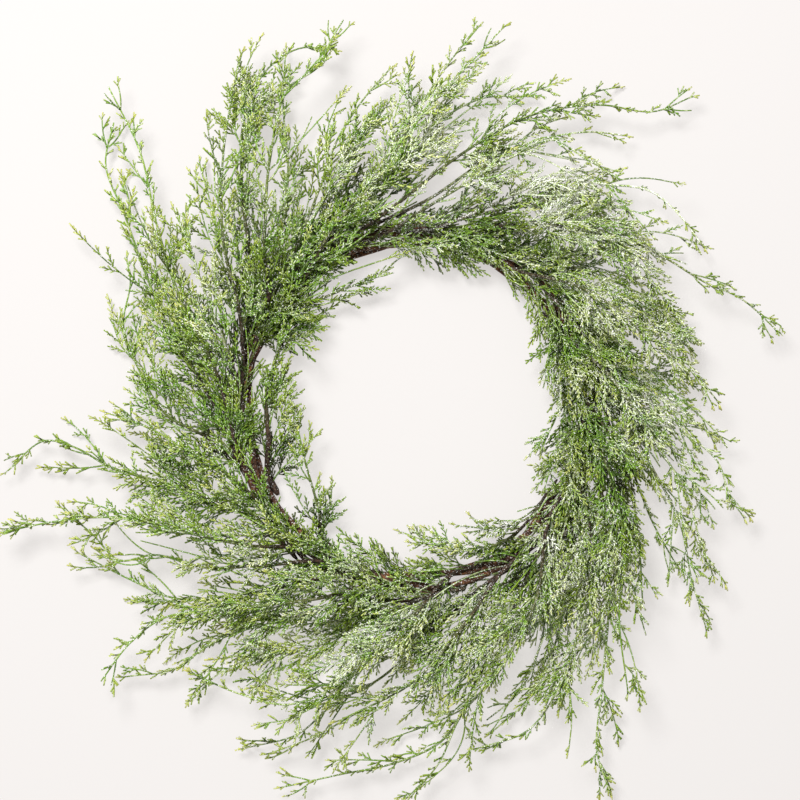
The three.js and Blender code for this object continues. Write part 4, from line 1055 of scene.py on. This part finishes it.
def buildVine(strand):
    # the strand's own line, smoother than the solid's, with a wandering bark surface
    look = vineLook
    draw = Draws(look["seed"] + strand)
    waves = [
        (1 + int(3 * draw()), int(9 + 30 * draw()), draw() * 6.28, 0.3 + draw()) for _ in range(look["waves"])
    ]
    steps, sides = look["steps"], look["sides"]
    points = np.zeros((steps, sides, 3))
    for i, clock in enumerate(2 * math.pi * np.arange(steps) / steps):
        centre = strandAt(strand, clock)
        for k, turn in enumerate(2 * math.pi * np.arange(sides) / sides):
            bark = sum(size * math.sin(a * turn + b * clock + c) for a, b, c, size in waves) / 5
            radius = ring["strandRadii"][strand] * look["share"] + look["rough"] * (bark - 0.6)
            points[i, k] = centre + sideways(clock, turn) * radius
    points[:, :, 2] = np.maximum(points[:, :, 2], 0.02)
    faces = []
    for i in range(steps):
        for k in range(sides):
            a, b = i * sides + k, i * sides + (k + 1) % sides
            c, d = (i + 1) % steps * sides + (k + 1) % sides, (i + 1) % steps * sides + k
            faces += [(a, b, c), (a, c, d)]
    return meshObject(f"bark_{'abcd'[strand]}", points.reshape(-1, 3), np.array(faces))


vineBodies = [buildVine(k) for k in strands]
tieLook = {
    "ring": 9.3, "wire": 0.7, "steps": 48, "sides": 8,
    "colour": (0.055, 0.042, 0.032, 1), "metallic": 0.6, "roughness": 0.45,
}
tieBodies = []
for k, clock in enumerate(tieClocks):
    bpy.ops.object.select_all(action="DESELECT")
    bpy.ops.mesh.primitive_torus_add(
        major_segments=tieLook["steps"], minor_segments=tieLook["sides"],
        major_radius=tieLook["ring"] * mm, minor_radius=tieLook["wire"] * mm,
    )
    body = bpy.context.object
    body.name = f"wire_{k + 1}"
    centre = (outward(clock) * ring["radius"] + triple(0, 0, ringLevel) + shift) * mm
    out, up = outward(clock), triple(0, 0, 1)
    turned = Matrix([[*r] for r in np.stack([out, up, np.cross(out, up)], axis=1)]).to_4x4()
    body.data.transform(Matrix.Translation(Vector(centre)) @ turned)
    body.data.shade_smooth()
    tieBodies.append(body)
print("vines", len(vineBodies), "wires", len(tieBodies))


# Materials
class Nodes:
    # short ways to add nodes to one tree
    def __init__(self, tree):
        self.tree = tree

    def add(self, kind, output, inputs, **settings):
        made = self.tree.nodes.new(kind)
        for key, value in settings.items():
            setattr(made, key, value)
        for socket, value in inputs.items():
            if isinstance(value, bpy.types.NodeSocket):
                self.tree.links.new(value, made.inputs[socket])
            else:
                made.inputs[socket].default_value = value
        return made.outputs[output]

    def attribute(self, name):
        return self.add("ShaderNodeAttribute", "Fac", {}, attribute_name=name)

    def math(self, operation, *values):
        return self.add("ShaderNodeMath", 0, dict(enumerate(values)), operation=operation)

    def plus(self, a, b):
        return self.math("ADD", a, b)

    def times(self, a, b):
        return self.math("MULTIPLY", a, b)

    def timesPlus(self, a, b, c):
        return self.math("MULTIPLY_ADD", a, b, c)

    def blended(self, share, a, b, mode="MIX"):
        inputs = {"Factor": share, "A": a, "B": b}
        return self.add("ShaderNodeMix", "Result", inputs, data_type="RGBA", blend_type=mode)

    def between(self, value, low, high):
        # 0 at low, 1 at high, and smooth from one to the other
        inputs = {"Value": value, "From Min": low, "From Max": high}
        return self.add("ShaderNodeMapRange", "Result", inputs, interpolation_type="SMOOTHSTEP")

    def noise(self, scale, detail=2.0, rough=0.5):
        place = self.add("ShaderNodeTexCoord", "Object", {})
        inputs = {"Vector": place, "Scale": scale, "Detail": detail, "Roughness": rough}
        return self.add("ShaderNodeTexNoise", "Fac", inputs)

    def frost(self, scale, detail, rough, amount, low, high):
        inputs = {
            "Scale": scale, "Detail": detail, "Roughness": rough, "Amount": amount, "Low": low, "High": high,
        }
        return self.add("ShaderNodeGroup", "Mask", inputs, node_tree=frostMask)


def frostGroup():
    # patches or flecks of frost: noise with an amount added to it, cut between low and high
    group = bpy.data.node_groups.new("frostMask", "ShaderNodeTree")
    for name in ("Scale", "Detail", "Roughness", "Amount", "Low", "High"):
        group.interface.new_socket(name, in_out="INPUT", socket_type="NodeSocketFloat")
    group.interface.new_socket("Mask", in_out="OUTPUT", socket_type="NodeSocketFloat")
    given = group.nodes.new("NodeGroupInput").outputs
    n = Nodes(group)
    grain = n.plus(n.noise(given["Scale"], given["Detail"], given["Roughness"]), given["Amount"])
    mask = n.between(grain, given["Low"], given["High"])
    group.links.new(mask, group.nodes.new("NodeGroupOutput").inputs["Mask"])
    return group


frostMask = frostGroup()


def newMaterial(name):
    material = bpy.data.materials.new(name)
    material.use_nodes = True
    tree = material.node_tree
    tree.nodes.clear()
    out = tree.nodes.new("ShaderNodeOutputMaterial")
    shader = tree.nodes.new("ShaderNodeBsdfPrincipled")
    tree.links.new(shader.outputs[0], out.inputs["Surface"])
    return material, shader, Nodes(tree)


def finishSurface(n, shader, look, base, height):
    inputs = {"Strength": look["bump"], "Distance": look["bumpDepth"], "Height": height}
    n.tree.links.new(base, shader.inputs["Base Color"])
    n.tree.links.new(n.add("ShaderNodeBump", "Normal", inputs), shader.inputs["Normal"])
    shader.inputs["Specular IOR Level"].default_value = look["specular"]
    shader.inputs["Roughness"].default_value = look["roughness"]


# The ranges say from where to where a colour comes in
cedarLook = {
    "deep": (0.040, 0.058, 0.008, 1), "mid": (0.220, 0.350, 0.028, 1), "light": (0.485, 0.605, 0.140, 1),
    "tip": (0.640, 0.690, 0.190, 1), "cool": (0.820, 1.000, 1.150, 1), "warm": (1.140, 1.000, 0.920, 1),
    "inner": (0.030, 0.026, 0.008, 1), "creaseShade": (0.020, 0.060, 0.012, 1),
    "bark": (0.020, 0.012, 0.009, 1), "barkLight": (0.070, 0.038, 0.026, 1),
    "frost": (0.815, 0.850, 0.480, 1), "fleck": (0.970, 0.975, 0.955, 1),
    "midRange": (0.08, 0.6), "lightRange": (0.62, 1.1), "tipRange": (0.95, 1.7), "warmRange": (0.43, 0.74),
    "innerShadeRange": (-0.02, -0.5), "scaleRange": (0.0, 0.55), "barkRange": (0.4, 0.65),
    "crustRange": (0.62, 0.84), "fleckRange": (0.665, 0.745), "scaleLength": 1.35,
    "specular": 0.2, "roughness": 0.55, "bump": 0.5, "bumpDepth": 0.0003,
}


def cedarMaterial():
    look = cedarLook
    material, shader, n = newMaterial("frostedCedar")
    tint, along, tipShare = (n.attribute(name) for name in ("tint", "along", "tipShare"))
    bark, frost, flake = (n.attribute(name) for name in ("bark", "frost", "flake"))
    # brightness from deep to light green: random tone by sprig and noise, plus painted shade that the tint
    # carries and painted shade at the base of each shoot
    shade = n.plus(n.times(tint, 0.6), n.times(n.noise(60.0), 0.4))
    shade = n.plus(shade, n.times(tipShare, 0.2))
    green = n.blended(n.between(shade, *look["midRange"]), look["deep"], look["mid"])
    green = n.blended(n.between(shade, *look["lightRange"]), green, look["light"])
    lime = n.plus(tipShare, n.timesPlus(n.noise(16.0), 1.2, -0.7))
    green = n.blended(n.times(n.between(lime, *look["tipRange"]), 0.75), green, look["tip"])
    # patches of cooler and of warmer green, warmer towards the tips
    warmth = n.timesPlus(tipShare, 0.14, n.noise(30.0, 4.0, 0.7))
    warmth = n.between(warmth, *look["warmRange"])
    green = n.blended(1.0, green, n.blended(warmth, look["cool"], look["warm"]), "MULTIPLY")
    # deep among the foliage it is painted shade: dark brown where the tint is pushed lowest
    green = n.blended(n.times(n.between(tint, *look["innerShadeRange"]), 0.75), green, look["inner"])
    # rows of scale leaves: each lighter towards its own tip, with painted shade in the crease where it leaves
    # the one before
    row = n.math("FRACT", n.math("DIVIDE", along, look["scaleLength"]))
    scale = n.between(row, *look["scaleRange"])
    green = n.blended(n.timesPlus(scale, -0.28, 0.28), green, look["creaseShade"])
    wood = n.blended(n.between(n.noise(420.0), *look["barkRange"]), look["bark"], look["barkLight"])
    base = n.blended(bark, green, wood)
    # thin crust of frost in patches, then bright flecks and the loose flakes
    crust = n.frost(300.0, 3.0, 0.6, n.times(frost, 0.3), *look["crustRange"])
    base = n.blended(n.times(crust, n.timesPlus(bark, -0.44, 0.5)), base, look["frost"])
    amount = n.timesPlus(bark, -0.07, n.times(frost, 0.17))
    fleck = n.frost(1000.0, 1.0, 0.5, amount, *look["fleckRange"])
    base = n.blended(n.math("MAXIMUM", n.times(fleck, 0.88), flake), base, look["fleck"])
    finishSurface(n, shader, look, base, scale)
    return material


cedar = cedarMaterial()
for index, body in enumerate(sprayBodies):
    body.data.materials.append(cedar)
    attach(body, "root")
    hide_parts(f"spray_{index + 1:02d}")


def vineMaterial():
    look = vineLook
    material, shader, n = newMaterial("vineBark")
    streak = n.noise(300.0, 4.0, 0.65)
    patch = n.plus(streak, n.times(n.noise(45.0), 0.5))
    base = n.blended(n.between(streak, *look["midRange"]), look["dark"], look["mid"])
    base = n.blended(n.between(patch, *look["lightRange"]), base, look["light"])
    fleck = n.frost(700.0, 1.0, 0.5, 0.0, *look["frostRange"])
    base = n.blended(n.times(fleck, 0.75), base, look["frost"])
    finishSurface(n, shader, look, base, streak)
    return material


def wireMaterial():
    material, shader, _ = newMaterial("bindingWire")
    shader.inputs["Base Color"].default_value = tieLook["colour"]
    shader.inputs["Metallic"].default_value = tieLook["metallic"]
    shader.inputs["Roughness"].default_value = tieLook["roughness"]
    return material


bark = vineMaterial()
for k, body in enumerate(vineBodies):
    body.data.materials.append(bark)
    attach(body, "root")
    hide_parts(f"vine_{'abcd'[k]}")
wire = wireMaterial()
for k, body in enumerate(tieBodies):
    body.data.materials.append(wire)
    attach(body, "root")
    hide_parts(f"tie_{k + 1}")
print("materials", len(bpy.data.materials))

# Floor, light and camera
floorLook = {
    "size": 60, "colour": (0.22, 0.212, 0.208, 1), "roughness": 0.9,
    "glow": (1.0, 0.962, 0.940, 1), "glowStrength": 0.59,
}
bpy.ops.object.select_all(action="DESELECT")
bpy.ops.mesh.primitive_plane_add(size=floorLook["size"], location=(0, 0, 0))
floor = bpy.context.object
floor.name = "floor"
floorMaterial, shader, _ = newMaterial("floorPlaster")
shader.inputs["Base Color"].default_value = floorLook["colour"]
shader.inputs["Roughness"].default_value = floorLook["roughness"]
shader.inputs["Emission Color"].default_value = floorLook["glow"]
shader.inputs["Emission Strength"].default_value = floorLook["glowStrength"]
floor.data.materials.append(floorMaterial)

studio = {
    "world": (1.0, 0.99, 0.97, 1), "worldStrength": 0.41,
    "key": 70, "keySize": 0.7, "keyPlace": (-0.5, 0.9, 2.0),
}
world = bpy.data.worlds.new("studio")
bpy.context.scene.world = world
world.use_nodes = True
background = next(n for n in world.node_tree.nodes if n.type == "BACKGROUND")
background.inputs["Color"].default_value = studio["world"]
background.inputs["Strength"].default_value = studio["worldStrength"]
keyData = bpy.data.lights.new("key", "AREA")
keyData.energy = studio["key"]
keyData.size = studio["keySize"]
key = bpy.data.objects.new("key", keyData)
key.location = studio["keyPlace"]
key.rotation_euler = (Vector((0, 0, 0)) - key.location).to_track_quat("-Z", "Y").to_euler()
bpy.context.collection.objects.link(key)

photoView = {"across": -0.01275, "up": 0.0085, "height": 1.652, "lens": 85, "sensor": 36}
cameraData = bpy.data.cameras.new("camera")
cameraData.lens = photoView["lens"]
cameraData.sensor_width = photoView["sensor"]
camera = bpy.data.objects.new("camera", cameraData)
camera.location = (shift[0] * mm + photoView["across"], shift[1] * mm + photoView["up"], photoView["height"])
camera.rotation_euler = (0, 0, 0)
bpy.context.collection.objects.link(camera)
bpy.context.scene.camera = camera
bpy.context.scene.view_settings.view_transform = "Standard"
bpy.context.scene.view_settings.look = "None"
